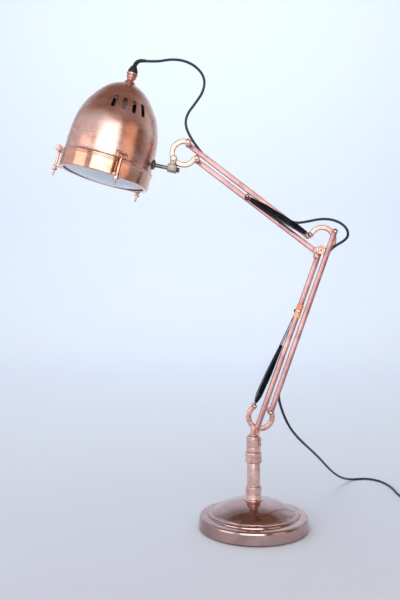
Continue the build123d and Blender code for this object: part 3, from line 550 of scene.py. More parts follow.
def plainFinish(name, look):
    # a dielectric with a colour drift and a fine grain
    made, tree, shader = newFinish(name)
    spot = localCoords(tree)
    drift = addNode(tree, "ShaderNodeTexNoise", {"Vector": spot, "Scale": look["driftScale"], "Detail": 4.0})
    mixed = addNode(tree, "ShaderNodeMix", {"Factor": drift.outputs["Fac"]}, data_type="RGBA")
    mixed.inputs[6].default_value = linear(look["dark"])
    mixed.inputs[7].default_value = linear(look["light"])
    colour = mixed.outputs[2]
    if "paintedShade" in look:
        # faces that look back along the head's axis, the bowl's back, get a near-black painted shade: the dark seen
        # through the vents
        facing = addNode(tree, "ShaderNodeTexCoord")
        back = addNode(tree, "ShaderNodeVectorMath", {0: facing.outputs["Normal"], 1: headZ},
                       operation="DOT_PRODUCT")
        shadeMask = addNode(tree, "ShaderNodeMath", {0: back.outputs["Value"], 1: 0.02}, operation="GREATER_THAN")
        two = addNode(tree, "ShaderNodeMix", {"Factor": shadeMask.outputs[0], 6: colour}, data_type="RGBA")
        two.inputs[7].default_value = linear(look["paintedShade"])
        colour = two.outputs[2]
    tree.links.new(colour, shader.inputs["Base Color"])
    grain = addNode(tree, "ShaderNodeTexNoise", {"Vector": spot, "Scale": look["grainScale"], "Detail": 3.0})
    rough = addNode(tree, "ShaderNodeMapRange", {"Value": grain.outputs["Fac"], "From Min": 0.3, "From Max": 0.7,
                                                 "To Min": look["rough"][0], "To Max": look["rough"][1]})
    tree.links.new(rough.outputs[0], shader.inputs["Roughness"])
    bump = addNode(tree, "ShaderNodeBump", {"Height": grain.outputs["Fac"], "Strength": look["grainDepth"],
                                            "Distance": 0.0002})
    tree.links.new(bump.outputs[0], shader.inputs["Normal"])
    shader.inputs["IOR"].default_value = look.get("ior", 1.5)
    for socket in ("Sheen Weight", "Coat Weight", "Transmission Weight", "Subsurface Weight"):
        if socket in look:
            shader.inputs[socket].default_value = look[socket]
    return made


finishes.update({
    # PVC flex jacket: near black with a blue cast, soft shine
    "flexJacket": plainFinish("flexJacket", {"dark": "#14181E", "light": "#222933", "driftScale": 0.05,
                                             "grainScale": 2.0, "grainDepth": 0.25, "rough": (0.32, 0.48),
                                             "ior": 1.52}),
    # moulded black rubber
    "mouldedRubber": plainFinish("mouldedRubber", {"dark": "#0E0F11", "light": "#1B1D20", "driftScale": 0.1,
                                                   "grainScale": 1.4, "grainDepth": 0.4, "rough": (0.5, 0.7)}),
    # black plug moulding, slightly glossy
    "plugMoulding": plainFinish("plugMoulding", {"dark": "#101113", "light": "#1A1C1F", "driftScale": 0.08,
                                                 "grainScale": 1.2, "grainDepth": 0.3, "rough": (0.28, 0.42)}),
    # pressed lens glass, frosted inside: milky, its pale blue a painted reflection of the backdrop
    "frostedGlass": plainFinish("frostedGlass", {"dark": "#CFDEEA", "light": "#E9F3FA", "driftScale": 0.02,
                                                 "grainScale": 0.8, "grainDepth": 0.3, "rough": (0.25, 0.4),
                                                 "Transmission Weight": 0.35, "Coat Weight": 0.6}),
    # opal bulb glass
    "opalGlass": plainFinish("opalGlass", {"dark": "#E8E6DF", "light": "#F6F4EE", "driftScale": 0.05,
                                           "grainScale": 0.5, "grainDepth": 0.02, "rough": (0.15, 0.25),
                                           "Subsurface Weight": 0.2}),
    # vitreous white enamel, with a near-black painted shade on the bowl's back
    "whiteEnamel": plainFinish("whiteEnamel", {"dark": "#E4E6E6", "light": "#F3F4F2", "paintedShade": "#1C1817",
                                               "driftScale": 0.02,
                                               "grainScale": 0.3, "grainDepth": 0.2, "rough": (0.15, 0.28),
                                               "Coat Weight": 0.5}),
    # glazed porcelain
    "glazedPorcelain": plainFinish("glazedPorcelain", {"dark": "#DAD6CC", "light": "#ECE9E1", "driftScale": 0.06,
                                                       "grainScale": 0.4, "grainDepth": 0.05, "rough": (0.08, 0.18)}),
    # pressed felt: fibres and no shine
    "pressedFelt": plainFinish("pressedFelt", {"dark": "#15161A", "light": "#2A2B30", "driftScale": 0.3,
                                               "grainScale": 3.0, "grainDepth": 1.0, "rough": (0.85, 1.0),
                                               "Sheen Weight": 0.4}),
})
print("finishes", len(finishes))


# ---- cords ----
farSide, nearSide = (far + 0.3 + 2.4) * mm, -(arms["near"] - 0.3 - 2.4) * mm
cord = {"radius": 0.0024, "coilCentre": (0.362, 0.150), "coilOut": 0.0304, "coilIn": 0.0256,
        "turnPoints": 16, "tail": (0.3316, 0.122, 0.0072)}
headRoute = [(-0.1955, 0, 0.8512), (-0.176, 0.0006, 0.8502), (-0.152, 0.003, 0.8558), (-0.127, 0.007, 0.855),
             (-0.104, 0.012, 0.8455), (-0.0885, 0.0165, 0.826), (-0.091, 0.0205, 0.803), (-0.1055, 0.0235, 0.782),
             (-0.1215, 0.026, 0.7625), (-0.1258, 0.027, 0.743), (-0.1165, farSide, 0.7195),
             (-0.099, farSide, 0.695), (-0.084, farSide, 0.677), (-0.066, farSide, 0.6622)]
elbowRoute = [(0.048, farSide, 0.575), (0.065, 0.0272, 0.5632), (0.084, 0.0272, 0.5584), (0.104, 0.024, 0.5614),
              (0.124, 0.018, 0.5652), (0.144, 0.0105, 0.5638), (0.1605, 0.0035, 0.5562), (0.171, -0.0025, 0.544),
              (0.1715, -0.0075, 0.531), (0.163, -0.011, 0.522), (0.1505, nearSide, 0.5154),
              (0.1385, nearSide, 0.5064), (0.1296, nearSide, 0.4936), (0.1233, nearSide, 0.4784)]
leadRoute = [(0.0467, nearSide, 0.2621), (0.043, -0.012, 0.2435), (0.0505, -0.005, 0.2155), (0.065, 0.012, 0.184),
             (0.084, 0.042, 0.158), (0.1095, 0.084, 0.1305), (0.138, 0.128, 0.1015), (0.1636, 0.174, 0.0715),
             (0.189, 0.222, 0.0425), (0.217, 0.270, 0.018), (0.247, 0.311, 0.0024), (0.284, 0.322, 0.0024),
             (0.3085, 0.306, 0.0024), (0.3205, 0.276, 0.0024), (0.3245, 0.240, 0.0024), (0.3225, 0.205, 0.0024),
             (0.3245, 0.176, 0.0024)]


def coilRoute():
    # six neat turns, two wide and three high, then straight to the plug
    cells = [("coilOut", 1), ("coilIn", 1), ("coilIn", 3), ("coilIn", 5), ("coilOut", 5), ("coilOut", 3),
             ("coilOut", 3)]
    count = cord["turnPoints"]
    route = []
    for k in range(count * 6 + 1):
        turn, step = divmod(k, count)
        shift = max(0.0, (step - count + 3) / 3)
        before, after = cells[turn], cells[min(turn + 1, 6)]
        r = (cord[before[0]] * (1 - shift) + cord[after[0]] * shift) * 1.01
        z = (before[1] * (1 - shift) + after[1] * shift) * cord["radius"]
        a = pi + 2 * pi * k / count
        route.append((cord["coilCentre"][0] + r * cos(a), cord["coilCentre"][1] + r * sin(a), z))
    x, y, z = cord["tail"]
    return route + [(x, y + 0.018, z), (x, y + 0.008, z), (x, y, z)]


def cordLine(route):
    # the cord's centreline: one NURBS curve through its given control points, read as plain points
    curve = bpy.data.curves.new("line", "CURVE")
    curve.dimensions = "3D"
    curve.resolution_u = 10
    spline = curve.splines.new("NURBS")
    spline.points.add(len(route) - 1)
    for point, place in zip(spline.points, route):
        point.co = (*place, 1.0)
    spline.order_u = 3
    spline.use_endpoint_u = True
    holder = bpy.data.objects.new("line", curve)
    bpy.context.scene.collection.objects.link(holder)
    bpy.context.view_layer.update()
    mesh = bpy.data.meshes.new_from_object(holder.evaluated_get(bpy.context.evaluated_depsgraph_get()))
    line = [v.co.copy() for v in mesh.vertices]
    bpy.data.meshes.remove(mesh)
    bpy.data.objects.remove(holder)
    return line


def lineLength(line):
    return sum((b - a).length for a, b in zip(line, line[1:]))


def cutLine(line, cuts):
    # the centreline in stretches, cut at these distances from its start; neighbours share a point
    stretches, current, done = [], [line[0]], 0.0
    cuts = list(cuts)
    for a, b in zip(line, line[1:]):
        span = (b - a).length
        while cuts and done + span >= cuts[0]:
            at = a.lerp(b, (cuts[0] - done) / span)
            current.append(at)
            stretches.append(current)
            current = [at]
            cuts.pop(0)
        current.append(b)
        done += span
    stretches.append(current)
    return [[p for i, p in enumerate(s) if i == 0 or (p - s[i - 1]).length > 1e-6] for s in stretches]


def flexPiece(name, line, stands=(), body=None, crossing=None, radius=None):
    # one stretch of flex
    jacket = roundWire(line, radius or cord["radius"], 14)
    made = piece(name, [jacket], finishes["flexJacket"], body, stands, scale=1.0, sharp=60)
    if crossing:
        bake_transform(made)
    return made


def plugMesh():
    # flat two-pin plug: a moulded body with a waist of grip ribs and two round pins
    x, y, z = [c / mm for c in cord["tail"]]
    outline = softened([(x - 5, y, 1.5), (x - 13, y - 16, 4), (x - 13, y - 35, 2), (x + 13, y - 35, 2),
                        (x + 13, y - 16, 4), (x + 5, y, 1.5)], 5)
    lying = Matrix(((1, 0, 0, 0), (0, 0, 1, 0), (0, 1, 0, 0), (0, 0, 0, 1)))
    body = [plate(outline, z - 7, z + 7, 1.6, lying)]
    for k in range(4):
        for side in (-1, 1):
            at = Vector((x + side * (7.0 + 1.1 * k), y - 8.0 - 3.0 * k, z - 5))
            body.append(turnedRod(at, at + Vector((0, 0, 10)), 1.0, 0.3, 12))
    pins = []
    for side in (-1, 1):
        start = Vector((x + side * 9.3, y - 34, z))
        pins.append(turnedRod(start, start + Vector((0, -20, 0)), 2.2, 0.8, 20))
        body.append(turnedRod(start, start + Vector((0, -9, 0)), 2.2 * 1.02, 0.2, 20))
    return body, pins


def cords():
    head1, head2, head3 = cutLine(cordLine(headRoute), (0.130, 0.230))
    flexPiece("headFlexStart", head1, ["head_cord"], crossing=("head", "knuckle"))
    flexPiece("headFlexMiddle", head2, crossing=("knuckle", "head_bracket"))
    flexPiece("headFlexEnd", head3, crossing=("head_bracket", "upper_top"))
    elbow1, elbow2 = cutLine(cordLine(elbowRoute), (0.112,))
    flexPiece("elbowFlexStart", elbow1, ["elbow_cord"], crossing=("upper_top", "elbow_bracket"))
    flexPiece("elbowFlexEnd", elbow2, crossing=("elbow_bracket", "lower_link"))
    lead = cordLine(leadRoute + coilRoute())
    lead1, lead2, lead3 = cutLine(lead, (0.075, 0.430))
    body, pins = plugMesh()
    plug = piece("plugBody", body, finishes["plugMoulding"], "root", ["plug"])
    plugPins = piece("plugPins", pins, finishes["dullNickel"], "root")
    flexPiece("leadStart", lead1, ["mains_lead"], crossing=("lower_link", "base_bracket"))
    flexPiece("leadDrop", lead2, crossing=("base_bracket", "root"))
    flexPiece("leadCoil", lead3, ["cord_coil", "cord_tail"], body="root")
    print("flex lengths", [round(lineLength(p), 4) for p in (head1, head2, head3, elbow1, elbow2, lead1, lead2, lead3)])


def headPoint(angle, radius, height):
    a = radians(angle)
    return head["foot"] + headX * (radius * cos(a)) + Vector((0, radius * sin(a), 0)) + headZ * height


relief = {"high": 4.0, "tip": 2.9}


def strainRelief():
    # a bent rubber sleeve that thins towards the cord, on a cup that sits in the gland
    route = [headPoint(0, 0, 203.0) * mm, (-0.2166, 0, 0.8446), (-0.2118, 0, 0.8503), (-0.204, 0, 0.8523),
             (-0.196, 0, 0.8512)]
    line = [p / mm for p in cordLine([tuple(p) for p in route])]
    sleeve = roundWire(line, lambda t: relief["high"] + (relief["tip"] - relief["high"]) * t, 24)
    place = placeAt(head["foot"], headZ, headX)
    cup = lathe(softened([(0, 197.5), (8.4, 197.5, 0.8), (9.0, 200.2, 0.8), (8.8, 202.2, 0.6), (7.9, 203.0, 0.4),
                          (7.7, 204.4, 0.4), (7.0, 204.8, 0.3), (6.8, 206.4, 0.4), (6.1, 206.8, 0.3), (5.7, 209.0, 0.5),
                          (0, 209.8)], 3), place, 48)
    ribs = []
    for k in range(1, 6):
        at = line[int(len(line) * k / 7)]
        ahead = line[min(int(len(line) * k / 7) + 1, len(line) - 1)]
        turn = placeAt(at, ahead - at)
        ribs.append(lathe(softened([(2.0, -0.7), (4.5 - 0.2 * k, -0.7, 0.4), (4.5 - 0.2 * k, 0.7, 0.4), (2.0, 0.7)], 3),
                          turn, 32))
    piece("strainRelief", [sleeve, cup] + ribs, finishes["mouldedRubber"], "head",
                 ["strain_relief"])


cords()
strainRelief()
print("cords")


# ---- base and post ----
base = {"radius": 100.0, "feltTop": 2.1, "wallTop": 24.0, "apex": 52.0}


def baseShell():
    r, top = base["radius"], base["wallTop"]
    outline = [(0, base["apex"])]
    outline += [(x, 52.0 - 22.0 * (x / 75.0) ** 2.0 * 0.55 - 22.0 * 0.45 * (x / 75.0) ** 3.2)
                for x in [75.0 * k / 24 for k in range(1, 25)]]
    outline += softened([(75.2, 29.0), (75.6, 28.2, 0.3), (76.4, 28.6, 0.4), (80.0, 28.0, 1.6), (82.6, 26.4, 1.4),
                         (83.2, 24.4, 0.5), (84.0, 23.8, 0.3), (84.8, 24.4, 0.4), (r - 5.5, top, 1.0),
                         (r - 2.2, top - 1.2, 3.0), (r - 1.4, top - 4.5, 1.6), (r, 4.0, 1.0), (r, 2.2, 0.8),
                         (r - 2.0, base["feltTop"]), (r - 4, base["feltTop"])], 5)[1:]
    outline += [(r - 4, top - 6), (r - 7.5, top - 2), (76.0, top - 2), (74.0, 27.6), (40, 43.4), (6.0, 49.8),
                (0, 50.0)]
    shell = lathe(outline, steps=192)
    piece("baseShell", [shell], finishes["turnedCopper"], "root", ["base_shell"], sharp=40)


def post():
    foot = lathe(softened([(5.2, 52.2), (17.5, 50.9, 0.4), (17.5, 52.6, 0.5), (14.6, 53.6, 0.8), (14.5, 61.0, 0.4),
                           (13.6, 61.8, 0.3), (13.6, 63.2, 0.3), (14.5, 64.0, 0.4), (14.5, 75.4, 0.8),
                           (13.4, 76.6, 0.4), (5.2, 76.6)], 3), steps=96)
    piece("footCollar", [foot], finishes["postCopper"], "root", ["foot_collar"])
    tubeMesh = lathe(softened([(9.5, 76.6), (12.0, 76.6, 0.3), (12.0, 119.0, 0.3), (9.5, 119.0)], 3), steps=96)
    piece("postTube", [tubeMesh], finishes["postCopper"], "root", ["post_tube"])
    collar = lathe(softened([(5.2, 119.0), (14.2, 119.0, 0.3), (15.0, 120.0, 0.6), (15.0, 127.4, 0.5),
                             (14.2, 128.2, 0.3), (14.2, 129.4, 0.3), (15.0, 130.2, 0.5), (15.0, 137.4, 0.9),
                             (13.8, 138.5, 0.3), (9.0, 138.5), (9.0, 135.0), (5.2, 135.0)], 3), steps=96)
    piece("upperCollar", [collar], finishes["postCopper"], "root", ["upper_collar"])
    socket = lathe(softened([(0, 138.5), (12.4, 138.5, 0.2), (13.0, 139.4, 0.5), (13.0, 146.8, 0.3),
                             (12.2, 147.3, 0.2), (12.2, 148.1, 0.2), (13.0, 148.6, 0.3), (13.0, 166.6, 0.6),
                             (12.0, 167.7, 0.3), (8.05, 167.7), (8.05, 142.0), (0, 142.0)], 3), steps=96)
    notch = bmesh.new()
    bmesh.ops.create_cube(notch, size=1.0)
    bmesh.ops.scale(notch, vec=(3.0, 12.0, 10.0), verts=notch.verts)
    bmesh.ops.translate(notch, vec=(0, -13.0, 168.2), verts=notch.verts)
    cutter = bpy.data.meshes.new("notch")
    notch.to_mesh(cutter)
    notch.free()
    piece("postSocket", [carved(socket, cutter)], finishes["postCopper"], "root", ["post_socket"])


def carved(body, cutter):
    # body minus cutter, as a plain mesh
    holders = []
    for mesh in (body, cutter):
        closed = bmesh.new()
        closed.from_mesh(mesh)
        bmesh.ops.remove_doubles(closed, verts=closed.verts, dist=1e-5)
        bmesh.ops.recalc_face_normals(closed, faces=closed.faces)
        closed.to_mesh(mesh)
        closed.free()
        made = bpy.data.objects.new("holder", mesh)
        bpy.context.scene.collection.objects.link(made)
        holders.append(made)
    cut = holders[0].modifiers.new("cut", "BOOLEAN")
    cut.operation, cut.solver, cut.object = "DIFFERENCE", "EXACT", holders[1]
    bpy.context.view_layer.update()
    result = bpy.data.meshes.new_from_object(holders[0].evaluated_get(bpy.context.evaluated_depsgraph_get()))
    for made in holders:
        mesh = made.data
        bpy.data.objects.remove(made)
        bpy.data.meshes.remove(mesh)
    return result


knob = {"ribs": 26, "rib": 0.38}


def knurledKnob(start, axis, radius, length):
    # a turned knob with raised knurls round it
    start, axis = Vector(start), Vector(axis).normalized()
    core = lathe(softened([(0, 0), (radius - 0.9, 0, 0.3), (radius - 0.25, 0.7, 0.2), (radius - 0.25, length - 0.7, 0.2),
                           (radius - 0.9, length, 0.3), (radius - 1.6, length + 0.01, 0.2),
                           (radius - 1.9, length - 0.5, 0.2), (0, length - 0.5)], 2), placeAt(start, axis), 48)
    ribs = fromTree("ribRing", {"Count": knob["ribs"], "Radius": radius - 0.36, "Length": length - 1.5,
                                "Rib": knob["rib"]}, placeAt(start + axis * (length / 2), axis))
    return [core, ribs]


def swivelLocks():
    for place in ("lower", "upper"):
        lock = joints["swivel_lock_" + place + "_turn"]
        out = Vector(lock["axis"]).normalized()
        centre = Vector((0, 0, lock["pos_m"][2] / mm))
        parts = [turnedRod(centre + out * 8.6, centre + out * 13.6, 1.6)]
        parts += knurledKnob(centre + out * 13.4, out, 3.4, 2.7)
        piece("swivelLock" + place.title(), parts, finishes["boltCopper"], "lock_" + place,
              ["swivel_lock_" + place])


def swivelSpigot():
    # turned cap with a fork for the arms' lower casting
    cap = lathe(softened([(0, 142.6), (8.0, 142.6, 0.4), (8.0, 168.0), (8.8, 168.0, 0.3), (9.4, 168.7, 0.4),
                          (9.4, 170.6, 0.6), (8.6, 171.5, 0.3), (0, 171.5)], 3), steps=96)
    cheeks = []
    for low, high in ((-8.2, -4.1), (4.1, 8.2)):
        outline = [(10.0, 171.0), (-4.0, 171.0)] + [
            (basePivot.x + 7 * cos(a), basePivot.z + 7 * sin(a)) for a in
            [radians(180 - 180 * k / 20) for k in range(21)]]
        cheeks.append(plate([Vector(p) for p in outline], low, high, 0.7))
    piece("swivelSpigot", [cap] + cheeks, finishes["postCopper"], "base_bracket", ["swivel_spigot"])


baseShell()
post()
swivelLocks()
swivelSpigot()
print("base and post")


# ---- castings, bars and bolts ----
casting = {"width": 9.0, "edge": 2.0, "bossUp": 0.15, "headRing": (-127.0, 683.0)}


def crescent(name, centre, radius, start, size, bosses, body, node):
    # a C-shaped casting with round edges and a boss at each bolt
    half, edge = casting["width"] / 2, casting["edge"]
    section = softened([(-half, -4, edge), (half, -4, edge), (half, 4, edge), (-half, 4, edge)], 5)
    line = [Vector((p.x, 0, p.y)) for p in arcPoints(centre, radius, start, start + size, 72)]
    parts = [tube(line, section)]
    for at, bossRadius in bosses:
        up = 4 + casting["bossUp"]
        outline = softened([(0, -up), (bossRadius, -up, 1.4), (bossRadius, up, 1.4), (0, up)], 5)
        parts.append(lathe(outline, placeAt(Vector((at.x, 0, at.z)), (0, 1, 0)), 48))
    piece(name, parts, finishes["castCopper"], body, [node])


def castings():
    crescent("baseCasting", (12.5, 202.0), 21.5, -239.0, 273.0,
             [(basePivot, 7.0), (baseHorn, 6.0), (arms["hook"], 5.0)], "base_bracket", "base_crescent")
    crescent("elbowCasting", (125.0, 526.0), 21.5, -108.4, 270.1,
             [(elbowPivot, 8.0), (elbowHorn, 6.0), (elbowHook, 6.0)], "elbow_bracket", "elbow_crescent")
    crescent("headCasting", casting["headRing"], 21.5, 69.0, 266.0,
             [(headLow, 6.0), (headHigh, 6.0), (tiltPivot, 6.5)], "head_bracket", "head_crescent")


def bar(name, start, end, low, body, node, finish="drawnCopper"):
    # a square bar with broken edges and a round eye at each end
    run = (end - start).normalized()
    half, eye = arms["bar"] / 2, 5.2
    angle = atan2(run.z, run.x)
    neck = sqrt(eye ** 2 - half ** 2)
    turn = acos(neck / eye)
    outline = []
    for at, base_ in ((end, angle), (start, angle + pi)):
        angles = [base_ - pi + turn + (2 * pi - 2 * turn) * k / 28 for k in range(29)]
        outline += [Vector((at.x + eye * cos(a), at.z + eye * sin(a))) for a in angles]
    mesh = plate(outline, low, low + arms["bar"], arms["edge"])
    return piece(name, [mesh], finishes[finish], body, [node], sharp=50)


def arcNut(at, y, way, radius, height):
    # hexagon nut with a domed cap
    place = placeAt(Vector((at.x, y, at.z)), (0, way, 0))
    hexagon = lathe(softened([(0, 0), (radius, 0, 0.2), (radius, height * 0.6, 0.25), (0, height * 0.6)], 2), place, 6)
    dome = [(0.86 * radius * cos(a), height * 0.6 + (height * 0.4) * sin(a)) for a in
            [pi / 2 * k / 6 for k in range(7)]]
    cap = lathe([(0, height * 0.5), (0.86 * radius, height * 0.5)] + dome[:-1] + [(0, height)], place, 32)
    return [hexagon, cap]


def boltHead(at, y, way, radius, height, recess=0.0):
    # domed round head, or one with a recessed face
    place = placeAt(Vector((at.x, y, at.z)), (0, way, 0))
    if recess:
        outline = softened([(0, 0), (radius, 0, 0.5), (radius, height - 0.6, 0.5), (radius - 0.8, height, 0.4),
                            (radius * 0.62, height, 0.4), (radius * 0.56, height - recess, 0.4),
                            (radius * 0.3, height - recess, 0.2), (radius * 0.24, height - recess * 0.4, 0.3),
                            (0, height - recess * 0.4)], 3)
        return [lathe(outline, place, 64)]
    dome = [(radius * cos(a), height * 0.35 + height * 0.65 * sin(a)) for a in [pi / 2 * k / 8 for k in range(9)]]
    return [lathe([(0, 0), (radius * 0.94, 0), (radius, height * 0.12)] + dome[:-1] + [(0, height)], place, 48)]


def ballHead(at, y, way, radius, height):
    # ball-shaped head on a short neck
    place = placeAt(Vector((at.x, y, at.z)), (0, way, 0))
    ball = [(radius * cos(a), height - radius + radius * sin(a)) for a in
            [radians(-50 + 140 * k / 14) for k in range(15)]]
    return [lathe([(0, 0), (radius * 0.62, 0)] + ball[:-1] + [(0, height)], place, 48)]


def bars():
    near = -far
    bar("lowerMainBar", basePivot, elbowPivot, near, "lower_main", "lower_main_bar")
    bar("lowerLinkBar", baseHorn, elbowHorn, near, "lower_link", "lower_link_bar")
    bar("upperLowBar", elbowPivot, headLow, arms["near"], "upper_low", "upper_low_bar")
    bar("upperTopBar", elbowHook, headHigh, arms["near"], "upper_top", "upper_top_bar")


def shank(at, low, high, radius):
    return [turnedRod((at.x, low, at.z), (at.x, high, at.z), radius, 0.4, 24)]


def bolts():
    copper = finishes["boltCopper"]
    front, back = -far - 0.3, far + 0.3
    parts = shank(basePivot, front, 8.5, 3.0) + boltHead(basePivot, front, -1, 5.6, 3.5, 1.0)
    parts += arcNut(basePivot, 8.5, 1, 5.5, 4.0)
    parts += shank(baseHorn, front, 4.1, 2.5) + ballHead(baseHorn, front, -1, 4.3, 7.6 - 0.3 - 3.2)
    parts += arcNut(baseHorn, 4.1, 1, 4.6, 3.5) + shank(baseHorn, -14.7, -4.0, 4.4)
    hook = arms["hook"]
    parts += shank(hook, -14.6, 14.6, 1.8)
    for side in (-1, 1):
        parts += shank(hook, *sorted((side * 13.4, side * 14.6)), 3.0)
    piece("baseBolts", parts, copper, "base_bracket", ["base_bolts"])
    piece("basePivotSpacer", shank(basePivot, -14.7, -8.2, 5.2), copper, "base_bracket",
          ["base_pivot_spacer"])
    parts = shank(elbowPivot, front, back, 3.0) + boltHead(elbowPivot, front, -1, 8.0, 6.4, 1.8)
    parts += arcNut(elbowPivot, back, 1, 5.5, 4.0)
    parts += shank(elbowHorn, front, 4.1, 2.5) + ballHead(elbowHorn, front, -1, 4.4, 4.2)
    parts += arcNut(elbowHorn, 4.1, 1, 4.6, 3.5) + shank(elbowHorn, -14.7, -4.0, 4.4)
    parts += shank(elbowHook, -15.1, back, 2.5) + ballHead(elbowHook, -14.6, -1, 3.3, 2.1)
    parts += arcNut(elbowHook, back, 1, 4.6, 3.5)
    piece("elbowBolts", parts, copper, "elbow_bracket", ["elbow_bolts"])
    piece("elbowSpacers", shank(elbowPivot, -14.7, -4, 6.0) + shank(elbowPivot, 4, 14.7, 6.0), copper,
          "elbow_bracket", ["elbow_spacers"])
    out = Vector((-8.8, 0, -10.3)).normalized()
    start = elbowPivot + Vector((0, -far - 4.8, 0)) + out * 8.3
    parts = [turnedRod(start, start + out * 3.2, 1.6), turnedRod(start + out * 8.8, start + out * 11.0, 2.6, 1.0)]
    piece("elbowLockKnob", parts + knurledKnob(start + out * 3.0, out, 4.2, 6.0), copper, "elbow_lock",
          ["elbow_lock_knob"])
    parts = []
    for at in (headLow, headHigh):
        parts += shank(at, -4.2, back, 2.5) + boltHead(at, -4.1, -1, 4.4, 2.4)
        parts += arcNut(at, back, 1, 4.6, 3.5) + shank(at, 4.0, 14.7, 4.4)
    piece("headBolts", parts, copper, "head_bracket", ["head_bolts"])
    parts = shank(tiltPivot, -13.0, 4.1, 2.5) + boltHead(tiltPivot, -13.0, -1, 4.6, 2.2, 0.7)
    parts += arcNut(tiltPivot, 4.1, 1, 4.6, 3.5)
    piece("tiltBolt", parts, copper, "head_bracket", ["tilt_bolt"])
    parts = shank(sleeveAt, -far - 1.2, 14.9, 1.8) + boltHead(sleeveAt, -far - 1.2, -1, 3.2, 1.4)
    parts += shank(sleeveAt, 13.9, 15.0, 3.0)
    piece("lowerSpringPin", parts, copper, "lower_main", ["lower_spring_pin"])
    parts = shank(upperPinAt, -15.5, far + 1.2, 1.8) + ballHead(upperPinAt, -14.4, -1, 3.1, 3.1)
    parts += boltHead(upperPinAt, far + 0.1, 1, 3.2, 1.3)
    piece("upperSpringPin", parts, copper, "upper_low", ["upper_spring_pin"])


def springSleeve():
    # square band round the main bar, with a raised lip at its lower end
    centre = sleeveAt + Vector((0, -(arms["near"] + arms["bar"] / 2), 0))
    parts = []
    for start, length, width in ((-12.0, 24.0, 10.6), (-12.0, 2.4, 11.4)):
        h = width / 2
        section = softened([(-h, -h, 1.1), (h, -h, 1.1), (h, h, 1.1), (-h, h, 1.1)], 4)
        parts.append(tube([centre + lowerDir * start, centre + lowerDir * (start + length)], section))
    piece("springSleeve", parts, finishes["rawCopper"], "lower_main", ["spring_sleeve"])


castings()
bars()
bolts()
springSleeve()
print("castings, bars and bolts")


# ---- springs: one wire each, wound close, with an open hook at both ends ----
springWire = {"radius": 0.85, "coil": 4.3, "pitch": 1.95, "hook": 3.4, "steps": 14}


def springLine(hook, anchor, side, coilStart, coilEnd, taper):
    start, end = Vector((hook.x, side * 9.5, hook.z)), Vector((anchor.x, side * 9.5, anchor.z))
    run = (end - start).normalized()
    length = (end - start).length
    y = Vector((0, 1, 0))
    over = run.cross(y).normalized()
    r, loop = springWire["coil"], springWire["hook"]
    line = [start + run * (loop * cos(a)) + over * (loop * sin(a)) for a in
            [radians(-150 + 300 * k / 20) for k in range(20)]][::-1]
    line.append(start + run * (loop + 2.2))
    turns = (coilEnd - coilStart) / springWire["pitch"]
    count = int(turns * springWire["steps"])
    for k in range(count + 1):
        a = 2 * pi * k / springWire["steps"]
        grow = min(1.0, k / count / taper[0], (count - k) / count / taper[1])
        size = r * (0.3 + 0.7 * grow)
        line.append(start + run * (coilStart + (coilEnd - coilStart) * k / count) + y * (size * cos(a))
                    + over * (size * sin(a)))
    line.append(end - run * (loop + 2.0))
    line += [end - run * (loop * cos(a)) + over * (loop * sin(a)) for a in
             [radians(-20 + 300 * k / 20) for k in range(20)]]
    return line


def springs():
    lower, upper = [], []
    lowerLength, upperLength = (sleeveAt - arms["hook"]).length, (upperPinAt - elbowHook).length
    for side in (-1, 1):
        lowerLine = springLine(arms["hook"], sleeveAt, side, 8.0, lowerLength * 0.64, (0.12, 0.5))
        upperLine = springLine(elbowHook, upperPinAt, side, 8.0, upperLength * 0.95, (0.2, 0.26))
        lower.append(roundWire(lowerLine, springWire["radius"], 6))
        upper.append(roundWire(upperLine, springWire["radius"], 6))
    low = piece("lowerSprings", lower, finishes["oiledSpring"], None, ["lower_springs"], sharp=70)
    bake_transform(low)
    up = piece("upperSprings", upper, finishes["oiledSpring"], None, ["upper_springs"], sharp=70)
    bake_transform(up)


springs()
print("springs")


# ---- head ----
headPlace = placeAt(head["foot"], headZ, headX)
shade = {"vents": 4, "ventStep": 15.5, "ventLength": 26.0, "ventWidth": 7.4, "steps": 160}
shadeCurve = [(82.0, 27.6), (81.0, 33.0), (80.9, 50.0), (79.8, 69.0), (77.2, 90.0), (73.0, 106.0), (64.0, 127.5),
              (44.0, 155.0), (25.5, 169.5), (9.0, 176.5)]


def smoothCurve(points, steps):
    # Catmull-Rom line through an outline's points
    pts = [Vector(p) for p in points]
    pts = [pts[0] * 2 - pts[1]] + pts + [pts[-1] * 2 - pts[-2]]
    line = []
    for a, b, c, d in zip(pts, pts[1:], pts[2:], pts[3:]):
        for k in range(steps):
            t = k / steps
            line.append(0.5 * ((2 * b) + (c - a) * t + (2 * a - 5 * b + 4 * c - d) * t ** 2
                               + (3 * b - a - 3 * c + d) * t ** 3))
    return line + [pts[-2]]


def ventCutters():
    # round-ended slots through the shoulder, in two groups on opposite sides
    cutters = []
    for group in (-94.0, 86.0):
        for k in range(shade["vents"]):
            angle = group + shade["ventStep"] * k
            out = (headPoint(angle, 1, 0) - head["foot"]).normalized()
            up = (headZ * 0.72 - out * 0.69).normalized()
            side = up.cross(out).normalized()
            through = side.cross(up).normalized()
            centre = headPoint(angle, 66.0, 121.0 + 4.0)
            half, r = shade["ventLength"] / 2, shade["ventWidth"] / 2
            ring = [(r * cos(a), (half - r) + r * sin(a)) for a in [pi * j / 12 for j in range(13)]]
            ring += [(r * cos(a), -(half - r) + r * sin(a)) for a in [pi + pi * j / 12 for j in range(13)]]
            verts = [centre + side * x + up * y + through * d for d in (-26, 22) for x, y in ring]
            n = len(ring)
            faces = [tuple(reversed(range(n))), tuple(range(n, 2 * n))]
            faces += [(j, (j + 1) % n, n + (j + 1) % n, n + j) for j in range(n)]
            cutters.append(meshFrom(verts, faces))
    joined = bmesh.new()
    for mesh in cutters:
        joined.from_mesh(mesh)
        bpy.data.meshes.remove(mesh)
    mesh = bpy.data.meshes.new("vents")
    joined.to_mesh(mesh)
    joined.free()
    return mesh


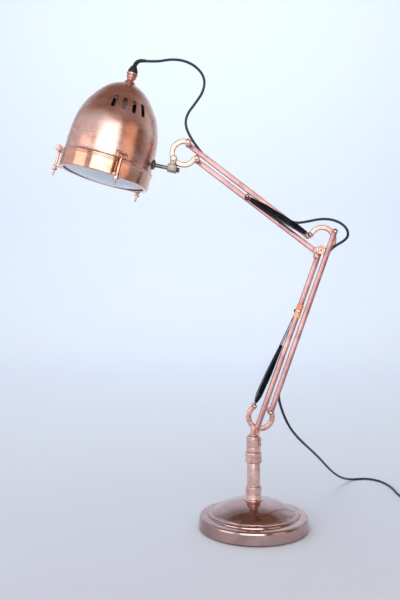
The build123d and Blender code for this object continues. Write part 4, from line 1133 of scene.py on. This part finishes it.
def shadeShell():
    outer = smoothCurve(shadeCurve, 6)
    inner = [p + Vector((-1.2, -0.6)) for p in outer]
    inner = [p for p in inner if p.x > 7.0]
    wall = lathe(outer + [Vector((7.2, 176.6)), Vector((7.0, 175.4))] + inner[::-1][1:-1] + [Vector((80.8, 27.6))],
                 headPlace, shade["steps"])
    piece("shadeShell", [carved(wall, ventCutters())], finishes["spunCopper"], "head", ["shade"],
          sharp=32)


def lensRing():
    r, low = head["ring"], head["ringLow"]
    outline = softened([(75.0, low, 0.4), (r - 1.2, low, 0.9), (r, low + 1.4, 0.8), (r, 21.6, 0.3), (r + 1.2, 22.6, 0.6),
                        (r + 1.2, 24.2, 0.6), (r + 0.4, 24.8, 0.3), (r + 1.2, 25.4, 0.6), (r + 1.2, 27.0, 0.6),
                        (r + 0.4, 27.5, 0.3), (79.0, 27.5), (79.0, 1.0), (78.0, -0.6), (75.0, -1.2, 0.3)], 4)
    parts = [lathe(outline, headPlace, 192)]
    for angle in head["clampAngles"]:
        out = (headPoint(angle, 1, 0) - head["foot"]).normalized()
        side = headZ.cross(out)
        ring = softened([(82.0, -6.0), (95.0, -6.0, 1.6), (96.6, -4.8, 1.2), (96.6, -3.2, 0.5), (90.4, -3.1, 3.0),
                         (90.4, 3.1, 3.0), (96.6, 3.2, 0.5), (96.6, 4.8, 1.2), (95.0, 6.0, 1.6), (82.0, 6.0)], 4)
        turn = Matrix((out, headZ, side)).transposed().to_4x4()
        parts.append(plate(ring, low, low + 4.0, 0.5, Matrix.Translation(head["foot"]) @ turn))
    piece("lensRing", parts, finishes["ringCopper"], "head", ["lens_ring"])


glass = {"ribPitch": 3.2, "ribHeight": 0.35, "radius": 76.2, "dome": 9.2}


def lensGlass():
    # pressed lens: the inner face smooth, the outer face with fine straight ribs
    rings, count = 150, 240
    verts, faces = [], []
    for face in (0, 1):
        for i in range(rings + 1):
            r = glass["radius"] * i / rings
            for k in range(count if i else 1):
                a = 2 * pi * k / count
                x, y = r * cos(a), r * sin(a)
                h = 0.5 - glass["dome"] * (1 - (r / glass["radius"]) ** 2)
                if face:
                    h += 3.4
                else:
                    fade = min(1.0, (glass["radius"] - r) / 3.0)
                    h += glass["ribHeight"] * fade * 0.5 * (1 + cos(2 * pi * x / glass["ribPitch"]))
                verts.append(headPlace @ Vector((x, y, h)))
    size = 1 + rings * count

    def at(face, i, k):
        return face * size + (0 if i == 0 else 1 + (i - 1) * count + k % count)

    for face in (0, 1):
        for k in range(count):
            faces.append((at(face, 0, 0), at(face, 1, k), at(face, 1, k + 1)))
            for i in range(1, rings):
                faces.append((at(face, i, k), at(face, i + 1, k), at(face, i + 1, k + 1), at(face, i, k + 1)))
    for k in range(count):
        faces.append((at(0, rings, k), at(1, rings, k), at(1, rings, k + 1), at(0, rings, k + 1)))
    piece("lensGlass", [meshFrom(verts, faces)], finishes["frostedGlass"], "head", ["lens_glass"],
          sharp=60)


def insides():
    # reflector and bulb, seen through the vents and the lens, and the lens gasket
    bowl = smoothCurve([(78.6, 25.0), (72.6, 42.0), (58.0, 74.0), (40.0, 96.0), (22.0, 106.0)], 6)
    inner = [p + Vector((-0.8, -0.7)) for p in bowl][::-1]
    piece("reflectorBowl", [lathe(bowl + inner, headPlace, 96)], finishes["whiteEnamel"], "head",
          ["reflector"])
    globe = smoothCurve([(0.5, 48.0), (12.0, 50.2), (21.0, 56.0), (27.5, 66.0), (29.0, 76.0), (27.0, 86.0),
                         (21.0, 96.0), (15.0, 104.0), (13.2, 110.5), (13.2, 127.0)], 5)
    piece("bulbGlobe", [lathe([Vector((0, 48.0))] + globe + [Vector((0, 127.0))], headPlace, 64)], finishes["opalGlass"],
          "head", ["bulb"])
    gasket = softened([(76.5, -0.4), (77.8, -0.4, 0.4), (78.7, 1.2, 0.5), (78.7, 5.9, 0.5), (77.2, 5.9, 0.4),
                       (77.2, 4.6), (76.5, 4.6)], 3)
    piece("lensGasket", [lathe(gasket, headPlace, 128)], finishes["mouldedRubber"], "head",
          ["lens_gasket"])


def cordGland():
    outline = softened([(0, 177.0), (9.3, 176.9, 0.4), (10.5, 178.3, 0.9), (9.4, 180.0, 0.6), (7.2, 180.8, 0.6),
                        (6.2, 184.0, 2.0), (7.8, 186.4, 1.4), (9.2, 188.6, 1.8), (9.0, 191.2, 1.2), (8.4, 192.4, 0.4),
                        (10.2, 193.4, 0.7), (10.4, 196.2, 0.8), (9.0, 197.4, 0.5), (0, 197.4)], 5)
    piece("cordGland", [lathe(outline, headPlace, 64)], finishes["castCopper"], "head", ["cord_gland"])


thread = {"wire": 0.26, "pitch": 1.1, "length": 13.5}


def clamps():
    # three swing bolts: knurled discs on a pin, plain shank, hexagon nut and a threaded tail
    brackets, pins = [], []
    for number, angle in enumerate(head["clampAngles"], start=1):
        out = (headPoint(angle, 1, 0) - head["foot"]).normalized()
        side = headZ.cross(out).normalized()
        centre = headPoint(angle, head["pinOut"], head["pinUp"])
        drop = head["pinUp"] - head["ringLow"]
        for way in (-1, 1):
            ring = softened([(85.0, -3.0, 1.0), (91.0, -5.0, 1.5), (99.6, -4.8, 5.0), (99.6, 4.8, 5.0), (91.0, 5.0, 1.5),
                             (82.2, 4.8), (82.2, -2.6)], 6)
            low, high = sorted((way * 3.4, way * 5.8))
            turn = Matrix((out, side, headZ)).transposed().to_4x4()
            brackets.append(plate(ring, low, high, 0.5, Matrix.Translation(head["foot"] + headZ * head["pinUp"]) @ turn))
        bandLine = [headPoint(angle + degrees(x / 82.2), 82.2, 0) for x in
                    [-10 + 20 * k / 12 for k in range(13)]]
        flat = softened([(-0.75, 29.0, 0.4), (0.75, 29.0, 0.4), (0.75, 41.0, 0.4), (-0.75, 41.0, 0.4)], 3)
        brackets.append(tube(bandLine, [(p.x, p.y) for p in flat], up=headZ))
        pins.append(turnedRod(centre - side * 9.2, centre + side * 9.2, 2.0))
        for way in (-1, 1):
            pins += knurledKnob(centre + side * (way * 6.0), side * way, 6.0, 3.2)
        low = centre - headZ * (drop + 2.3)
        parts = [turnedRod(centre - side * 3.1, centre + side * 3.1, 5.0, 0.8, 40),
                 turnedRod(centre, centre - headZ * (drop + 1.8), 2.5, 0.3, 24),
                 turnedRod(centre, centre - headZ * (drop + 16.8), 1.55, 0.5, 20)]
        nut = placeAt(low, -headZ, out)
        parts.append(lathe(softened([(0, 0), (4.1, 0, 0.1), (4.8, 0.5, 0.1), (4.8, 3.5, 0.1), (4.1, 4.0, 0.1), (0, 4.0)], 2),
                           nut, 6))
        coilAt = placeAt(low - headZ * 0.4, -headZ, out)
        parts.append(fromTree("woundWire", {"Turns": thread["length"] / thread["pitch"], "Radius": 1.5,
                                            "Height": thread["length"], "Wire": thread["wire"],
                                            "Steps": 16}, coilAt))
        piece("swingBolt" + str(number), parts, finishes["boltCopper"], "clamp_" + str(number),
              ["swing_bolt_" + str(number)])
    piece("clampBrackets", brackets, finishes["boltCopper"], "head", ["clamp_brackets"])
    piece("clampPins", pins, finishes["boltCopper"], "head", ["clamp_pins"])


studFoot = head["foot"] + headX * 80.0 + headZ * 46.0


def stud():
    # nickel stud and its flange on the shade
    start = studFoot
    parts = [turnedRod(start + studDir * 1.5, start + studDir * 46.2, 3.5, 0.3),
             turnedRod(start + studDir * 4.5, start + studDir * 6.2, 4.6, 0.4),
             turnedRod(start + studDir * 45.9, start + studDir * 50.0, 4.5, 1.4)]
    piece("headStud", parts, finishes["dullNickel"], "head", ["head_stud"])
    disc = placeAt(start + studDir * 1.5, studDir)
    outline = softened([(3.55, 0), (9.5, 0, 0.6), (9.5, 1.6, 0.6), (7.0, 2.9, 0.6), (3.55, 2.9)], 4)
    parts = [lathe(outline, disc, 48)]
    for k in range(3):
        a = 2 * pi * k / 3
        at = start + disc.to_3x3() @ Vector((7.0 * cos(a), 7.0 * sin(a), 0)) + studDir * 2.6
        parts.append(turnedRod(at, at + studDir * 1.4, 1.1, 0.6, 16))
    piece("studFlange", parts, finishes["dullNickel"], "head", ["stud_flange"])


def knuckleParts():
    # the knuckle's block and the ear round the tilt bolt
    block = studFoot + studDir * 36.5
    across = Vector((-studDir.z, 0, studDir.x))
    corners = [block + studDir * x + across * y for x, y in ((-9, -6.5), (9, -6.5), (9, 6.5), (-9, 6.5))]
    ring = softened([(p.x, p.z, 2.2) for p in corners], 5)
    parts = [plate(ring, -12.6, 7.0, 1.2)]
    neckEnd = (tiltPivot + block) / 2
    ring = []
    direction = (tiltPivot - neckEnd).normalized()
    angle = atan2(direction.z, direction.x)
    for centre, radius, start, sweep, steps in ((tiltPivot, 6.2, -1.9, 3.8, 20), (neckEnd, 5.0, 1.6, 3.1, 12)):
        turns = [angle + start + sweep * k / steps for k in range(steps + 1)]
        ring += [Vector((centre.x + radius * cos(a), centre.z + radius * sin(a))) for a in turns]
    parts.append(plate(ring, -12.6, -4.4, 1.0))
    return parts


def knuckleBlock():
    # the block is hollowed where the casting's ring swings through it
    parts = knuckleParts()
    ringX, ringZ = casting["headRing"]
    ringPlace = placeAt(Vector((ringX, 0, ringZ)), (0, 1, 0))
    cut = carved(parts[0], lathe([(0, -4.3), (28.5, -4.3), (28.5, 30.0), (0, 30.0)], ringPlace, 96))
    eyePlace = placeAt(Vector((tiltPivot.x, 0, tiltPivot.z)), (0, 1, 0))
    eye = lathe([(0, -4.3), (8.0, -4.3), (8.0, 12.0), (0, 12.0)], eyePlace, 48)
    piece("knuckleBlock", [carved(cut, eye), parts[1]], finishes["dullNickel"], "knuckle", ["knuckle"])


shadeShell()
lensRing()
lensGlass()
insides()
cordGland()
clamps()
stud()
knuckleBlock()
print("head")


# ---- cables held along the arms ----
held = {"upper": (Vector((-66.0, 26.7, 662.2)), Vector((48.0, 26.7, 575.0))),
        "lower": (Vector((123.3, -12.3, 478.4)), Vector((46.7, -12.3, 262.1)))}


def heldCables():
    for name, body in (("upper", "upper_top"), ("lower", "lower_link")):
        start, end = held[name]
        start, end = start * mm, end * mm
        line = cordLine([start, (start + end) / 2, end])
        jacket = roundWire(line, cord["radius"], 14)
        made = piece(name + "ArmFlex", [jacket], finishes["flexJacket"], body, [name + "_arm_cable"],
                     scale=1.0, sharp=60)


heldCables()

nodeFinishes = {
    "felt_pad": "pressedFelt", "base_weight": "sandCastIron", "base_nut": "zincSteel", "post_tie_rod": "zincSteel",
    "stud_nut": "zincSteel", "lampholder": "glazedPorcelain", "holder_bracket": "zincSteel",
    "upper_cable_clips": "boltCopper", "lower_cable_clips": "boltCopper"}
for nodeName, finish in nodeFinishes.items():
    for materialSlot in frame["nodes"][nodeName].material_slots:
        materialSlot.link = "OBJECT"
        materialSlot.material = finishes[finish]
print("plain parts finished")
